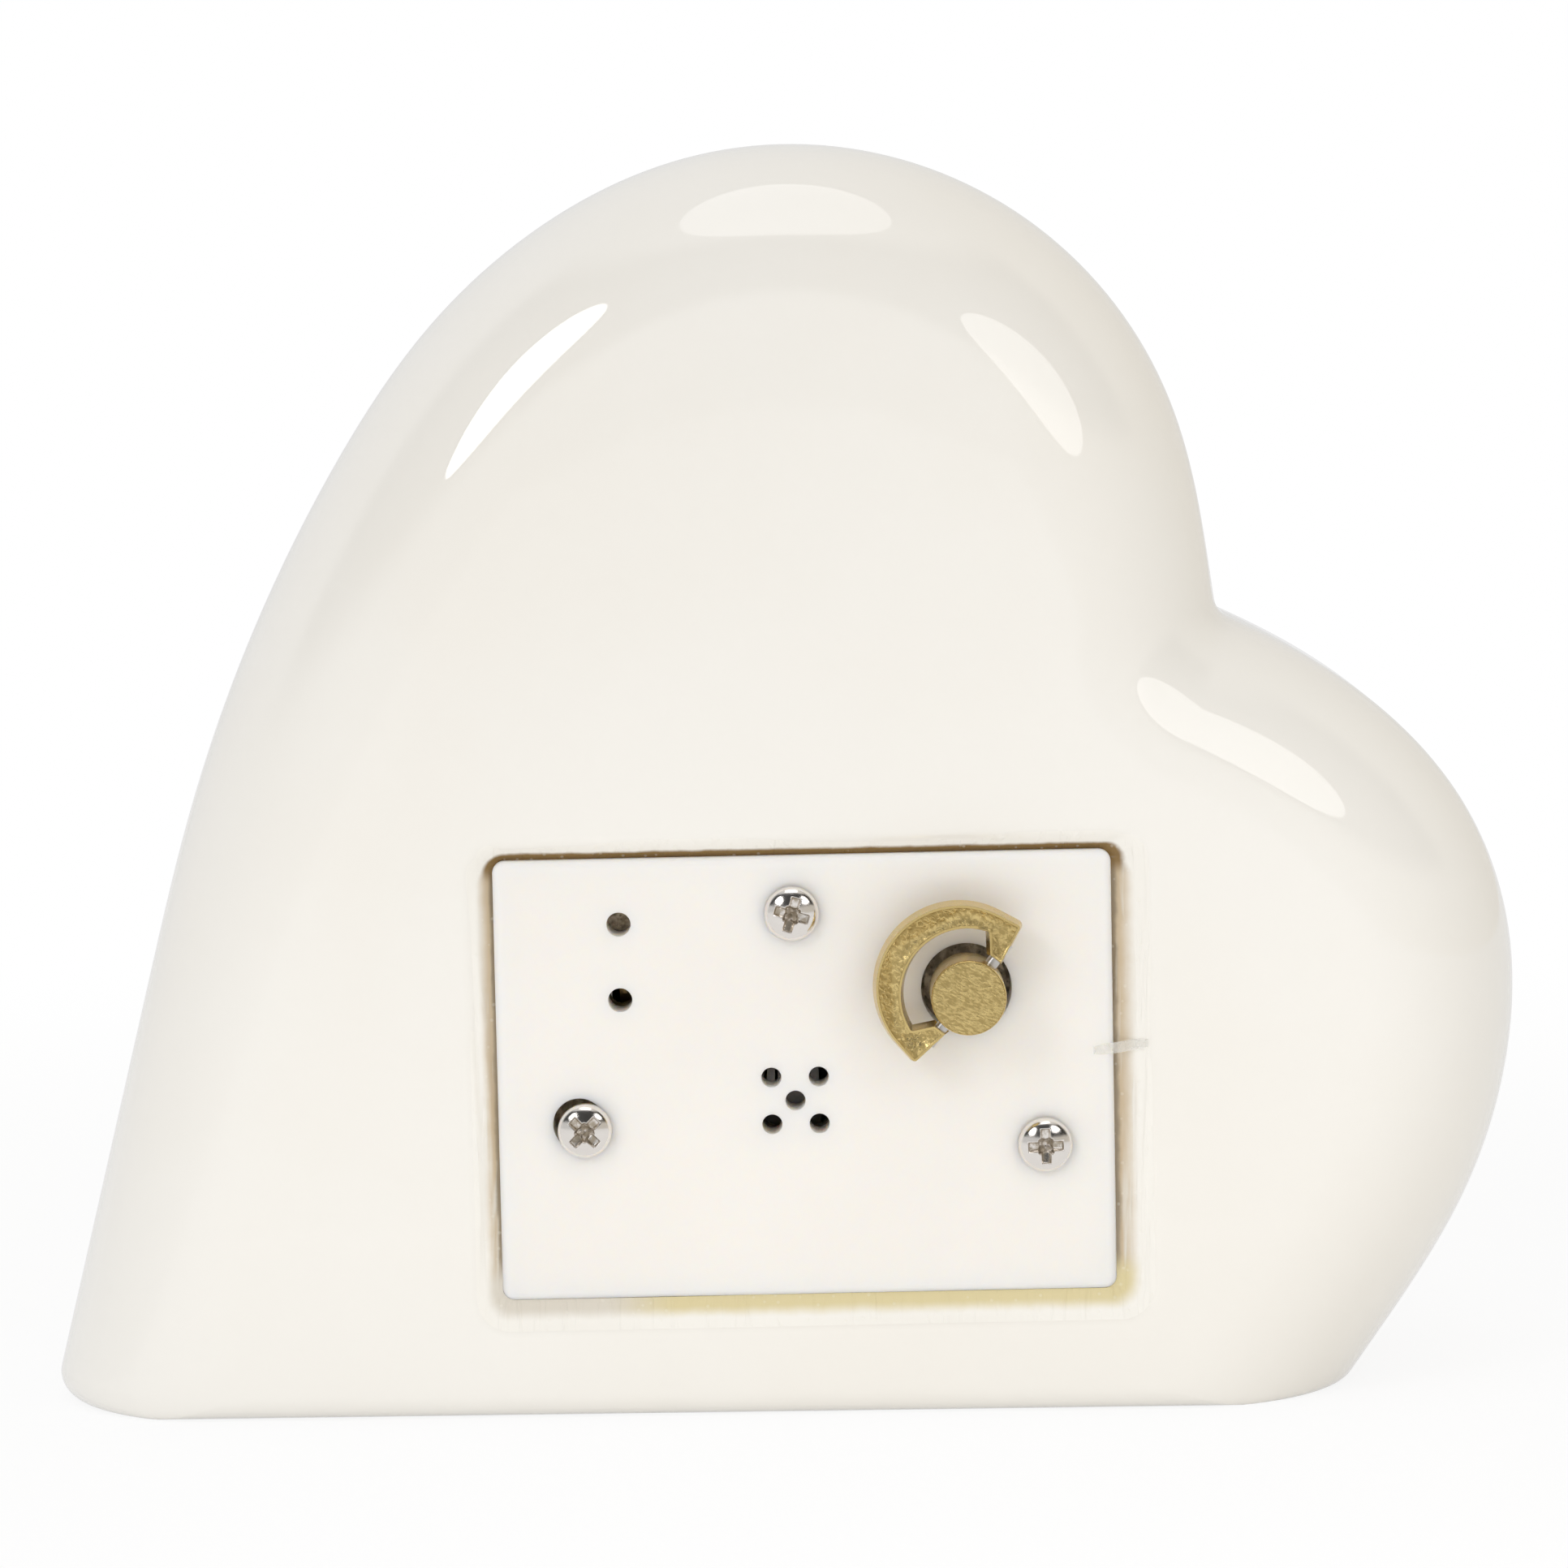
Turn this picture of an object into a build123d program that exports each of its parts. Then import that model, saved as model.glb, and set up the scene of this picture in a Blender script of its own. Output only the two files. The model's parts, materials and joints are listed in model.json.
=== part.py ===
"""Wind-up music box: a hollow ceramic heart with a spring movement in its back.

The heart lies on a flank that is cut flat. X runs along its width, Y from its back (the
side with the winding key) to its front, and Z up from the flat foot, where the origin is.
Movement pieces are drawn in the case's own frame: u to the right, h into the heart from
the inner side of the case's face, and w up, all from the middle of that face.
"""
import os
from math import acos, atan2, cos, degrees, hypot, pi, radians, sin, tan

from build123d import *

# Heart
heart_depth = 48.0
heart_wall = 4.0
floor_wall = 5.0
edge_round = 17.0
foot_round = 2.5
foot_drop = 24.0  # how far the outline runs on below the cut foot
flank_foot_x = -75.72  # where the left flank meets the foot
flank_lean = 75.8  # degrees from the foot to the left flank
flank_run = 53.5  # straight part of the left flank
upper_lobe = ((160.0, 20.0), (58.5, 30.0), (41.5, 107.5))  # radius, sweep in degrees
lower_lobe = ((58.0, 20.5), (34.5, 47.0), (53.0, 34.0))
lower_lobe_start = (46.29, 77.72)
lower_lobe_lean = -23.2  # degrees, the way the lower lobe leaves the cleft
cleft_round = 2.5

# Case of the movement, and its seat in the heart's back
case_x = 1.74
case_z = 34.26
case_tilt = 0.4  # degrees, right end up
case_width = 61.2
case_height = 44.0
case_room = 22.0  # depth inside
case_face = 4.4
case_wall = 1.5
case_corner = 1.2
case_edge_round = 0.8
case_proud = 0.3  # how far the face stands out of the heart's back
cover_thick = 1.5
cover_lip = 2.0
cover_clear = 0.15
glue_gap_side = 1.8
glue_gap_top = 1.15
opening_shift = (0.6, -0.65)  # from the middle of the case to the middle of the opening
glue_set_back = 1.6
glue_depth = 3.6
opening_corner = 2.0
opening_lip = 1.2

# Face of the case: places are (u, w)
screw_places = ((-1.05, 16.35), (-22.0, -4.9), (23.65, -7.25))
loose_screw = 1  # the screw whose hole is oversize
loose_hole_radius = 2.6
loose_hole_shift = 0.55
winder_place = (16.1, 8.5)
winder_hole_radius = 4.5
vent_places = ((-18.2, 15.55), (-18.2, 8.0))
open_vent = 1  # the one that goes on through the bedplate
vent_radius = 1.2
sound_centre = (-1.05, -2.4)
sound_pitch = 2.35
sound_radius = 1.0

# Clearances
shaft_clear = 0.05  # running fit of a shaft in its bearing
fine_clear = 0.04  # running fit of the governor's small pivots
press_clear = 0.02  # a wheel pressed on its arbor
thread_clear = 0.05  # a screw in its tapped hole
hole_clear = 0.25  # a screw in its through hole
mesh_clear = 0.05  # added to the distance between two gears
touch = 0.01

# Mounting screws
screw_radius = 1.45
screw_head_radius = 2.7
screw_head_height = 2.1
screw_head_crown = 0.9
screw_reach = 4.0  # how far the tip reaches past the inner side of the face
recess_reach = 1.55
recess_width = 0.8
recess_depth = 1.2

# Small screws of the movement
small_screw_radius = 0.75
small_head_radius = 1.5
small_head_height = 0.9
small_screw_length = 3.4
small_slot = 0.4

# Bedplate
bed_left = -27.6
bed_right = 28.7
bed_bottom = -17.0
bed_top = 20.0
bed_thick = 2.6
bed_corner = 2.0
bed_notch_width = 12.0
bed_notch_height = 5.0
boss_radius = 2.9
boss_top = 4.4
collar_radius = 4.1
collar_height = 0.6
foot_thick = 1.2  # feet of the brackets and the governor's frame
sound_window = 3.6  # half the opening behind the sound holes

# Winder
arbor_radius = 2.0
arbor_pivot_radius = 1.2
arbor_in_hub = 2.0
drive_teeth = 40
drive_mean_radius = 10.1
drive_face = 1.7
drive_disc = 1.4
drive_tooth_root = 1.0  # from the disc to the pinion's pitch line
drive_tooth_height = 1.5
drive_clear = 0.8
drive_tooth_thick = 0.5
drive_tooth_sink = 0.2
flank_slope = 0.36  # half the taper of a gear tooth
ratchet_teeth = 12
ratchet_radius = 5.0
ratchet_depth = 0.9
ratchet_thick = 1.0
pawl_thick = 0.8
pawl_clear = 0.1
pawl_radius = 1.0
pawl_reach = 7.2
pawl_offset = 3.0

# Mainspring and its housing
spring_strip = 0.35
spring_turns = 6
spring_clear = 0.11  # from the arbor to the first coil
spring_pitch = 0.85
spring_rise = 0.7  # from the housing's mouth to the spring
spring_height = 6.6
spring_play = 0.4
housing_clear = 0.39  # from the last coil to the housing
housing_wall = 0.45
housing_plate = 1.2
post_radius = 2.0
post_places = ((26.6, 17.8), (26.6, -2.5), (5.2, 18.0))

# Cylinder
drum_clear = 0.8  # from the pins to the bedplate
drum_left = -18.5
drum_right = 1.5
drum_radius = 6.5
drum_wall = 0.9
drum_web = 1.2
drum_hub_radius = 2.0
pin_height = 0.75
pin_side = 0.4
pin_count = 64
cylinder_arbor_radius = 1.0
arbor_overhang = 0.4
pinion_teeth = 20
pinion_face = 1.7
pinion_tooth_thick = 0.55
pinion_addendum = 0.35
pinion_dedendum = 0.75
wheel_teeth = 40
wheel_module = 0.3
wheel_face = 1.2
wheel_right = -21.4
wheel_tooth_thick = 0.34
wheel_addendum = 0.25
wheel_dedendum = 0.38
wheel_window = 1.3
wheel_window_place = 3.5
bracket_thick = 1.4
bracket_width = 8.0
bracket_gap = 0.7
bracket_foot = 5.0
bracket_foot_width = 3.0
bracket_foot_lap = 1.2

# Comb
note_count = 18
note_gap = 0.3
note_thick = 0.7
note_tip_thick = 0.45
comb_back = -13.0
comb_root_bass = -7.0
comb_root_treble = -3.0
comb_thick = 2.0
comb_rail = 5.0
comb_drop = 0.45  # from the cylinder's axis down to the comb's seat
comb_screw_places = ((-14.0, -10.5), (-3.0, -10.5))
pluck_gap = 0.2

# Governor
governor_teeth = 10
governor_tooth_thick = 0.34
governor_hub_radius = 0.95
governor_arbor_radius = 0.5
governor_plate = 1.0
governor_wall = 1.2
governor_cheek = 3.2
governor_left = -27.2
governor_right = -20.2
governor_foot_bottom = -16.2
governor_foot_top = -10.0
governor_arm_low = 5.2
governor_arm_high = 19.9
governor_arm_half = 1.4
governor_screw_place = (-23.7, -13.8)
worm_wheel_teeth = 24
worm_wheel_face = 1.2
worm_wheel_tooth_thick = 0.32
worm_u = -24.5
worm_pitch_radius = 1.25
worm_core_radius = 0.75
worm_tip_radius = 1.5
worm_pivot_radius = 0.4
worm_thread_turns = 6.5
worm_thread_thick = 0.28
fly_start = 16.1
fly_height = 2.8
fly_half = 4.3
fly_thick = 0.4
fly_hub_radius = 1.2

# Winding key: heights are measured outwards from the case's face
hub_radius = 3.7
hub_base = 1.0
hub_top = 7.4
hub_round = 0.3
key_turn = 51.1  # degrees from u to the bail's pivot line
pivot_height = 4.0
key_pin_radius = 0.65
key_pin_grip = 2.15  # length of the pin in a lug
bail_thick = 2.2
bail_outer_radius = 8.5
bail_outer_shift = 1.05
bail_inner_radius = 6.3
bail_tip_reach = 8.85
bail_tip_low = -0.2
bail_lug_gap = 0.45  # from the hub to a lug
bail_lug_low = -0.95
bail_lug_high = 0.85
bail_shoulder = 21.5  # degrees from the pivot line to where the inner arc ends
bail_tip_round = 0.6
bail_draft = 8.0  # degrees, its sides slope in towards the outer face

# Worked out from the above
outline_span = 4 * heart_depth
back_y = -heart_depth / 2
case_y = back_y - case_proud + case_face
case_frame = Location((case_x, case_y, case_z), (0, -case_tilt, 0))
face_h = -case_face
back_h = back_y - case_y
inner_width = case_width - 2 * case_wall
inner_height = case_height - 2 * case_wall
opening_width = case_width + 2 * glue_gap_side
opening_height = case_height + 2 * glue_gap_top
foot_top = bed_thick + foot_thick
winder_u, winder_w = winder_place
pin_tip_radius = drum_radius + pin_height
cylinder_h = bed_thick + drum_clear + pin_tip_radius
cylinder_place = (cylinder_h, winder_w)
pinion_pitch_radius = drive_mean_radius * pinion_teeth / drive_teeth
pinion_u = winder_u - drive_mean_radius
drive_disc_top = cylinder_h - pinion_pitch_radius - drive_tooth_root
drive_start = drive_disc_top - drive_disc
spring_step = spring_pitch / 2  # growth of each half turn
spring_edge = spring_strip / 2 + spring_step / 2  # from a coil's mean radius to its reach
spring_inner_radius = arbor_radius + spring_clear + spring_edge
spring_outer_radius = spring_inner_radius + (2 * spring_turns - 1) * spring_step + spring_edge
housing_base = drive_disc_top + drive_tooth_height + drive_clear
spring_start = housing_base + spring_rise
housing_inner_radius = spring_outer_radius + housing_clear
housing_radius = housing_inner_radius + housing_wall
housing_top = spring_start + spring_height + spring_play
housing_lid_top = housing_top + housing_plate
note_pitch = (drum_right - drum_left) / note_count
note_tip_w = winder_w - pin_tip_radius - pluck_gap
comb_seat = cylinder_h - comb_drop
comb_top = comb_seat + comb_thick
left_bracket_u = drum_left - bracket_gap - bracket_thick
right_bracket_u = drum_right + bracket_gap
bracket_screw_reach = (bracket_width + bracket_foot) / 2
bracket_screw_places = (
    (left_bracket_u + bracket_foot_width / 2, winder_w + bracket_screw_reach),
    (right_bracket_u + bracket_foot_width / 2, winder_w - bracket_screw_reach),
)
wheel_pitch_radius = wheel_module * wheel_teeth / 2
governor_pitch_radius = wheel_module * governor_teeth / 2
worm_wheel_pitch_radius = wheel_module * worm_wheel_teeth / 2
worm_lead = pi * wheel_module
governor_w = winder_w - wheel_pitch_radius - governor_pitch_radius - mesh_clear
governor_place = (cylinder_h, governor_w)
worm_w = governor_w - worm_wheel_pitch_radius - worm_pitch_radius
worm_place = (worm_u, worm_w)
pivot_h = face_h - pivot_height
arbor_outer_h = face_h - hub_base - arbor_in_hub
bail_lug_end = hub_radius + bail_lug_gap
key_pin_half = bail_lug_end + key_pin_grip


def slab(sketch, start, end, draft=0):
    """A flat sketch in (u, w), given thickness from one depth h to another."""
    return Rot(90, 0, 0) * extrude(Pos(0, 0, -end) * sketch, end - start, taper=draft)


def rod_h(place, radius, start, end):
    """A round rod along h at a place (u, w)."""
    return slab(Pos(*place) * Circle(radius), start, end)


def bar_u(sketch, start, end):
    """A sketch in (h, w), given length along u."""
    return extrude(Plane.YZ.offset(start) * sketch, end - start)


def rod_u(place, radius, start, end):
    """A round rod along u at a place (h, w)."""
    return bar_u(Pos(*place) * Circle(radius), start, end)


def block(left, right, start, end, bottom, top):
    """A box between limits in u, h and w."""
    middle = ((left + right) / 2, (start + end) / 2, (bottom + top) / 2)
    return Pos(*middle) * Box(right - left, end - start, top - bottom)


def group(pieces):
    """Like pieces kept as separate solids in one node."""
    first, *rest = pieces
    return first + rest


# Heart
def heading_vector(angle):
    return Vector(cos(radians(angle)), sin(radians(angle)))


def chain(start, heading, arcs):
    """Tangent arcs that turn to the right, each given as a radius and a sweep."""
    edges = []
    point = Vector(*start)
    for radius, sweep in arcs:
        arc = JernArc(point, heading_vector(heading), radius, -sweep)
        edges.append(arc)
        point = arc @ 1
        heading -= sweep
    return edges, point, heading


def crossing(first, first_heading, second, second_heading):
    """Where two straight lines cross, each given as a point and a heading."""
    along = heading_vector(first_heading)
    across = heading_vector(second_heading + 90)
    return first + along * ((second - first).dot(across) / along.dot(across))


def heart_outline():
    """The heart's outline in (x, z), run on straight below the foot."""
    foot_line = Vector(0, -foot_drop)
    flank_foot = Vector(flank_foot_x, 0)
    flank_low = crossing(flank_foot, flank_lean, foot_line, 0)
    flank_high = flank_foot + heading_vector(flank_lean) * flank_run
    upper, upper_end, upper_heading = chain(flank_high, flank_lean, upper_lobe)
    lower, lower_end, lower_heading = chain(lower_lobe_start, lower_lobe_lean, lower_lobe)
    lobe_start = Vector(*lower_lobe_start)
    cleft = crossing(upper_end, upper_heading, lobe_start, lower_lobe_lean)
    low_right = crossing(lower_end, lower_heading, foot_line, 0)
    outline = make_face([
        Line(flank_low, flank_high),
        *upper,
        Line(upper_end, cleft),
        Line(cleft, lobe_start),
        *lower,
        Line(lower_end, low_right),
        Line(low_right, flank_low),
    ])
    return fillet(outline.vertices().sort_by_distance(cleft)[0], cleft_round)


def heart_solid(inset, floor):
    """The heart's rounded body, drawn in on all sides and cut flat at its floor."""
    outline = heart_outline()
    if inset:
        outline = offset(outline, -inset, kind=Kind.INTERSECTION)
    half = heart_depth / 2 - inset
    body = slab(outline, -half, half)
    rims = [edge for edge in body.edges() if abs(abs(edge.center().Y) - half) < touch
            and edge.bounding_box().max.Z > -foot_drop / 2]
    body = fillet(rims, edge_round - inset)
    return body - block(-outline_span, outline_span, -half, half, -foot_drop, floor)


def opening_sketch():
    """The opening in the back, wider than the case by the glue gap."""
    return Pos(*opening_shift) * RectangleRounded(opening_width, opening_height, opening_corner)


def heart_shell():
    body = heart_solid(0, 0)
    foot = body.faces().sort_by(Axis.Z)[0]
    body = fillet(foot.edges(), foot_round)
    body -= heart_solid(heart_wall, floor_wall)
    body -= case_frame * slab(opening_sketch(), back_h - heart_wall, back_h + 2 * heart_wall)
    back_face = body.faces().sort_by(Axis.Y)[0]
    lip = back_face.inner_wires()[0].edges()
    return fillet(lip, opening_lip)


def glue_bead():
    ring = opening_sketch() - RectangleRounded(case_width, case_height, case_corner)
    start = back_h + glue_set_back
    return slab(ring, start, start + glue_depth)


# Case
def movement_case():
    """A tray with its face outwards, pierced for the screws, the winder and the sound."""
    tray = slab(RectangleRounded(case_width, case_height, case_corner), face_h, case_room)
    tray = fillet(tray.faces().sort_by(Axis.Y)[0].edges(), case_edge_round)
    tray -= slab(Rectangle(inner_width, inner_height), 0, case_room)
    holes = [Pos(*winder_place) * Circle(winder_hole_radius)]
    for number, (u, w) in enumerate(screw_places):
        if number == loose_screw:
            holes.append(Pos(u - loose_hole_shift, w + loose_hole_shift) * Circle(loose_hole_radius))
        else:
            holes.append(Pos(u, w) * Circle(screw_radius + hole_clear))
    holes += [Pos(*place) * Circle(vent_radius) for place in vent_places]
    spots = [Pos(*sound_centre)] + [Pos(*sound_centre) * Pos(a * sound_pitch, b * sound_pitch)
                                    for a in (-1, 1) for b in (-1, 1)]
    holes += [spot * Circle(sound_radius) for spot in spots]
    return tray - [slab(hole, face_h, 0) for hole in holes]


def case_cover():
    """The lid on the inner end of the case, with a lip that enters it."""
    plate = slab(RectangleRounded(case_width, case_height, case_corner), case_room,
                 case_room + cover_thick)
    lip_width = inner_width - 2 * cover_clear
    lip_height = inner_height - 2 * cover_clear
    lip = Rectangle(lip_width, lip_height) - Rectangle(lip_width - 2 * case_wall,
                                                       lip_height - 2 * case_wall)
    return plate + slab(lip, case_room - cover_lip, case_room)


def mounting_screw(place):
    """A pan-head screw whose head sits on the outer side of the face."""
    top = face_h - screw_head_height
    head = rod_h(place, screw_head_radius, top, face_h)
    head = fillet(head.edges().sort_by(Axis.Y)[0], screw_head_crown)
    cross = Rectangle(2 * recess_reach, recess_width) + Rectangle(recess_width, 2 * recess_reach)
    head -= slab(Pos(*place) * cross, top, top + recess_depth)
    return head + rod_h(place, screw_radius, face_h, screw_reach)


def mounting_screws():
    return group(mounting_screw(place) for place in screw_places)


# Frame of the movement
def small_screw(place, seat):
    """A slotted cheese-head screw that enters from the inner side of the movement."""
    head = rod_h(place, small_head_radius, seat, seat + small_head_height)
    slot = Rectangle(2 * small_head_radius, small_slot)
    head -= slab(Pos(*place) * slot, seat + small_head_height / 2, seat + small_head_height)
    return head + rod_h(place, small_screw_radius, seat - small_screw_length, seat)


def small_screw_hole(place, seat):
    radius = small_screw_radius + thread_clear
    return rod_h(place, radius, seat - small_screw_length - thread_clear, seat)


def bedplate():
    """The cast base: screw bosses, posts for the housing, a comb rail and openings for sound."""
    middle = Pos((bed_left + bed_right) / 2, (bed_bottom + bed_top) / 2)
    outline = middle * RectangleRounded(bed_right - bed_left, bed_top - bed_bottom, bed_corner)
    outline -= Pos(bed_right, bed_bottom) * RectangleRounded(2 * bed_notch_width, 2 * bed_notch_height,
                                                             bed_corner)
    outline -= Pos(*sound_centre) * RectangleRounded(2 * sound_window, 2 * sound_window, bed_corner)
    outline -= Pos(*vent_places[open_vent]) * Circle(vent_radius)
    plate = slab(outline, 0, bed_thick)
    plate += [rod_h(place, boss_radius, bed_thick, boss_top) for place in screw_places]
    plate += [rod_h(place, post_radius, bed_thick, housing_top) for place in post_places]
    plate += rod_h(winder_place, collar_radius, -collar_height, 0)
    plate += block(drum_left, drum_right, bed_thick, comb_seat, comb_back, comb_back + comb_rail)
    plate -= rod_h(winder_place, arbor_radius + shaft_clear, -collar_height, bed_thick)
    plate -= [rod_h(place, screw_radius + thread_clear, 0, boss_top) for place in screw_places]
    plate -= [small_screw_hole(place, housing_top) for place in post_places]
    plate -= [small_screw_hole(place, comb_seat) for place in comb_screw_places]
    plate -= [small_screw_hole(place, foot_top) for place in bracket_screw_places]
    plate -= small_screw_hole(governor_screw_place, foot_top)
    return plate


def bracket(left, foot_sign, screw_place):
    """An upright that carries one end of the cylinder, with its foot to one side."""
    right = left + bracket_thick
    side = bracket_width / 2
    upright = block(left, right, bed_thick, cylinder_h, winder_w - side, winder_w + side)
    upright += rod_u(cylinder_place, side, left, right)
    foot_ends = sorted((winder_w + foot_sign * (side - bracket_foot_lap),
                        winder_w + foot_sign * (side + bracket_foot)))
    upright += block(left, left + bracket_foot_width, bed_thick, foot_top, *foot_ends)
    upright -= rod_u(cylinder_place, cylinder_arbor_radius + shaft_clear, left, right)
    return upright - small_screw_hole(screw_place, foot_top)


def left_bracket():
    return bracket(left_bracket_u, 1, bracket_screw_places[0])


def right_bracket():
    return bracket(right_bracket_u, -1, bracket_screw_places[1])


def bracket_screws():
    return group(small_screw(place, foot_top) for place in bracket_screw_places)


# Winder and spring
def winding_arbor():
    spindle = rod_h(winder_place, arbor_radius, arbor_outer_h, housing_top - shaft_clear)
    return spindle + rod_h(winder_place, arbor_pivot_radius, housing_top - shaft_clear,
                           housing_top + housing_plate)


def drive_gear():
    """A crown wheel: its teeth stand on the disc's rim and point into the heart."""
    disc = Circle(drive_mean_radius + drive_face / 2) - Circle(arbor_radius + press_clear)
    wheel = slab(Pos(*winder_place) * disc, drive_start, drive_disc_top)
    pitch_h = cylinder_h - pinion_pitch_radius
    base = drive_disc_top - drive_tooth_sink
    tip = drive_disc_top + drive_tooth_height
    outline = []
    for height in (base, tip):
        half = drive_tooth_thick / 2 + (pitch_h - height) * flank_slope
        outline.append((half, height))
    outline += [(-half, height) for half, height in reversed(outline)]
    teeth = []
    for number in range(drive_teeth):
        angle = (number + 0.5) * 2 * pi / drive_teeth
        radial = Vector(cos(angle), 0, sin(angle))
        inner = drive_mean_radius - drive_face / 2
        foot = Vector(winder_u, 0, winder_w) + radial * inner
        plane = Plane(foot, x_dir=(sin(angle), 0, -cos(angle)), z_dir=radial)
        teeth.append(extrude(plane * Polygon(*outline, align=None), drive_face))
    return wheel + teeth


def ratchet_wheel():
    points = []
    for number in range(ratchet_teeth):
        angle = number * 2 * pi / ratchet_teeth
        inner = ratchet_radius - ratchet_depth
        points.append((ratchet_radius * cos(angle), ratchet_radius * sin(angle)))
        points.append((inner * cos(angle), inner * sin(angle)))
    wheel = Polygon(*points, align=None) - Circle(arbor_radius + press_clear)
    return slab(Pos(*winder_place) * wheel, drive_disc_top, drive_disc_top + ratchet_thick)


def click_pawl():
    """The click: a short arm on the drive gear whose nose drops behind a ratchet tooth."""
    nose_radius = ratchet_radius - ratchet_depth + pawl_clear
    arm = Polygon((nose_radius, pawl_clear), (ratchet_radius, pawl_clear),
                  (pawl_reach + pawl_radius, pawl_offset), (pawl_reach - pawl_radius, pawl_offset),
                  align=None)
    arm += Pos(pawl_reach, pawl_offset) * Circle(pawl_radius)
    return slab(Pos(*winder_place) * arm, drive_disc_top, drive_disc_top + pawl_thick)


def mainspring():
    """A flat strip wound in half circles whose radius grows by half a pitch each."""
    inner = []
    outer = []
    for number in range(2 * spring_turns):
        radius = spring_inner_radius + number * spring_step
        centre = (spring_step / 2 * (-1) ** (number + 1), 0)
        inner.append(CenterArc(centre, radius - spring_strip / 2, 180 * number, 180))
        outer.append(CenterArc(centre, radius + spring_strip / 2, 180 * number, 180))
    ends = [Line(inner[0] @ 0, outer[0] @ 0), Line(inner[-1] @ 1, outer[-1] @ 1)]
    strip = make_face([*inner, *outer, *ends])
    return slab(Pos(*winder_place) * strip, spring_start, spring_start + spring_height)


def spring_housing():
    """A cup over the spring, with three arms that rest on the bedplate's posts."""
    ring = Circle(housing_radius) - Circle(housing_inner_radius)
    cup = slab(Pos(*winder_place) * ring, housing_base, housing_top)
    lid = Pos(*winder_place) * Circle(housing_radius)
    for u, w in post_places:
        reach = hypot(u - winder_u, w - winder_w)
        turn = degrees(atan2(w - winder_w, u - winder_u))
        arm = Rot(0, 0, turn) * Pos(reach / 2, 0) * Rectangle(reach, 2 * post_radius)
        lid += Pos(*winder_place) * arm
        lid += Pos(u, w) * Circle(post_radius)
    cup += slab(lid, housing_top, housing_lid_top)
    cup -= rod_h(winder_place, arbor_pivot_radius + shaft_clear, housing_top, housing_lid_top)
    radius = small_screw_radius + thread_clear
    return cup - [rod_h(place, radius, housing_top, housing_lid_top) for place in post_places]


def housing_screws():
    return group(small_screw(place, housing_lid_top) for place in post_places)


# Gears
def gear_outline(teeth, pitch_radius, thick, addendum, dedendum):
    """Straight-flanked teeth round a circle, the first one on the sketch's first axis."""
    points = []
    for number in range(teeth):
        angle = number * 2 * pi / teeth
        for radius, side in ((pitch_radius - dedendum, -1), (pitch_radius + addendum, -1),
                             (pitch_radius + addendum, 1), (pitch_radius - dedendum, 1)):
            half = thick / 2 - (radius - pitch_radius) * flank_slope
            turn = angle + side * half / radius
            points.append((radius * cos(turn), radius * sin(turn)))
    return Polygon(*points, align=None)


def cylinder_gear(teeth, pitch_radius, thick, addendum, dedendum):
    outline = gear_outline(teeth, pitch_radius, thick, addendum, dedendum)
    return Pos(*cylinder_place) * (outline - Circle(cylinder_arbor_radius + press_clear))


def cylinder_pinion():
    outline = cylinder_gear(pinion_teeth, pinion_pitch_radius, pinion_tooth_thick,
                            pinion_addendum, pinion_dedendum)
    return bar_u(outline, pinion_u - pinion_face / 2, pinion_u + pinion_face / 2)


def cylinder_wheel():
    outline = cylinder_gear(wheel_teeth, wheel_pitch_radius, wheel_tooth_thick,
                            wheel_addendum, wheel_dedendum)
    windows = [Rot(0, 0, 90 * turn) * Pos(wheel_window_place, 0) * Circle(wheel_window)
               for turn in range(4)]
    outline -= [Pos(*cylinder_place) * window for window in windows]
    return bar_u(outline, wheel_right - wheel_face, wheel_right)


def cylinder_arbor():
    return rod_u(cylinder_place, cylinder_arbor_radius, wheel_right - wheel_face - arbor_overhang,
                 pinion_u + pinion_face / 2 + arbor_overhang)


def cylinder_drum():
    """A thin tube on one web, set with pins that each pluck one note."""
    drum = rod_u(cylinder_place, drum_radius, drum_left, drum_right)
    drum -= rod_u(cylinder_place, drum_radius - drum_wall, drum_left, drum_right - drum_web)
    drum += rod_u(cylinder_place, drum_hub_radius, drum_left, drum_right)
    drum -= rod_u(cylinder_place, cylinder_arbor_radius + press_clear, drum_left, drum_right)
    pin_length = pin_height + drum_wall / 2
    pins = []
    for number in range(pin_count):
        track = (5 * number * number + 3 * number) % note_count
        u = drum_left + (track + 0.5) * note_pitch
        turn = Pos(u, *cylinder_place) * Rot(number * 360 / pin_count, 0, 0)
        pins.append(turn * Pos(0, pin_tip_radius - pin_length / 2, 0)
                    * Box(pin_side, pin_length, pin_side))
    return drum + pins


# Comb
def comb():
    """A steel plate cut into notes, longest at the bass end, with their tips by the pins."""
    base = Polygon((drum_left, comb_back), (drum_right, comb_back), (drum_right, comb_root_treble),
                   (drum_left, comb_root_bass), align=None)
    plate = slab(base, comb_seat, comb_top)
    notes = []
    for number in range(note_count):
        left = drum_left + number * note_pitch + note_gap / 2
        root = comb_root_bass + (comb_root_treble - comb_root_bass) * number / note_count - comb_thick
        root_half = note_thick / 2
        tip_half = note_tip_thick / 2
        side = Polygon((cylinder_h - root_half, root), (cylinder_h + root_half, root),
                       (cylinder_h + tip_half, note_tip_w), (cylinder_h - tip_half, note_tip_w),
                       align=None)
        notes.append(bar_u(side, left, left + note_pitch - note_gap))
    plate += notes
    radius = small_screw_radius + thread_clear
    return plate - [rod_h(place, radius, comb_seat, comb_top) for place in comb_screw_places]


def comb_screws():
    return group(small_screw(place, comb_top) for place in comb_screw_places)


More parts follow.
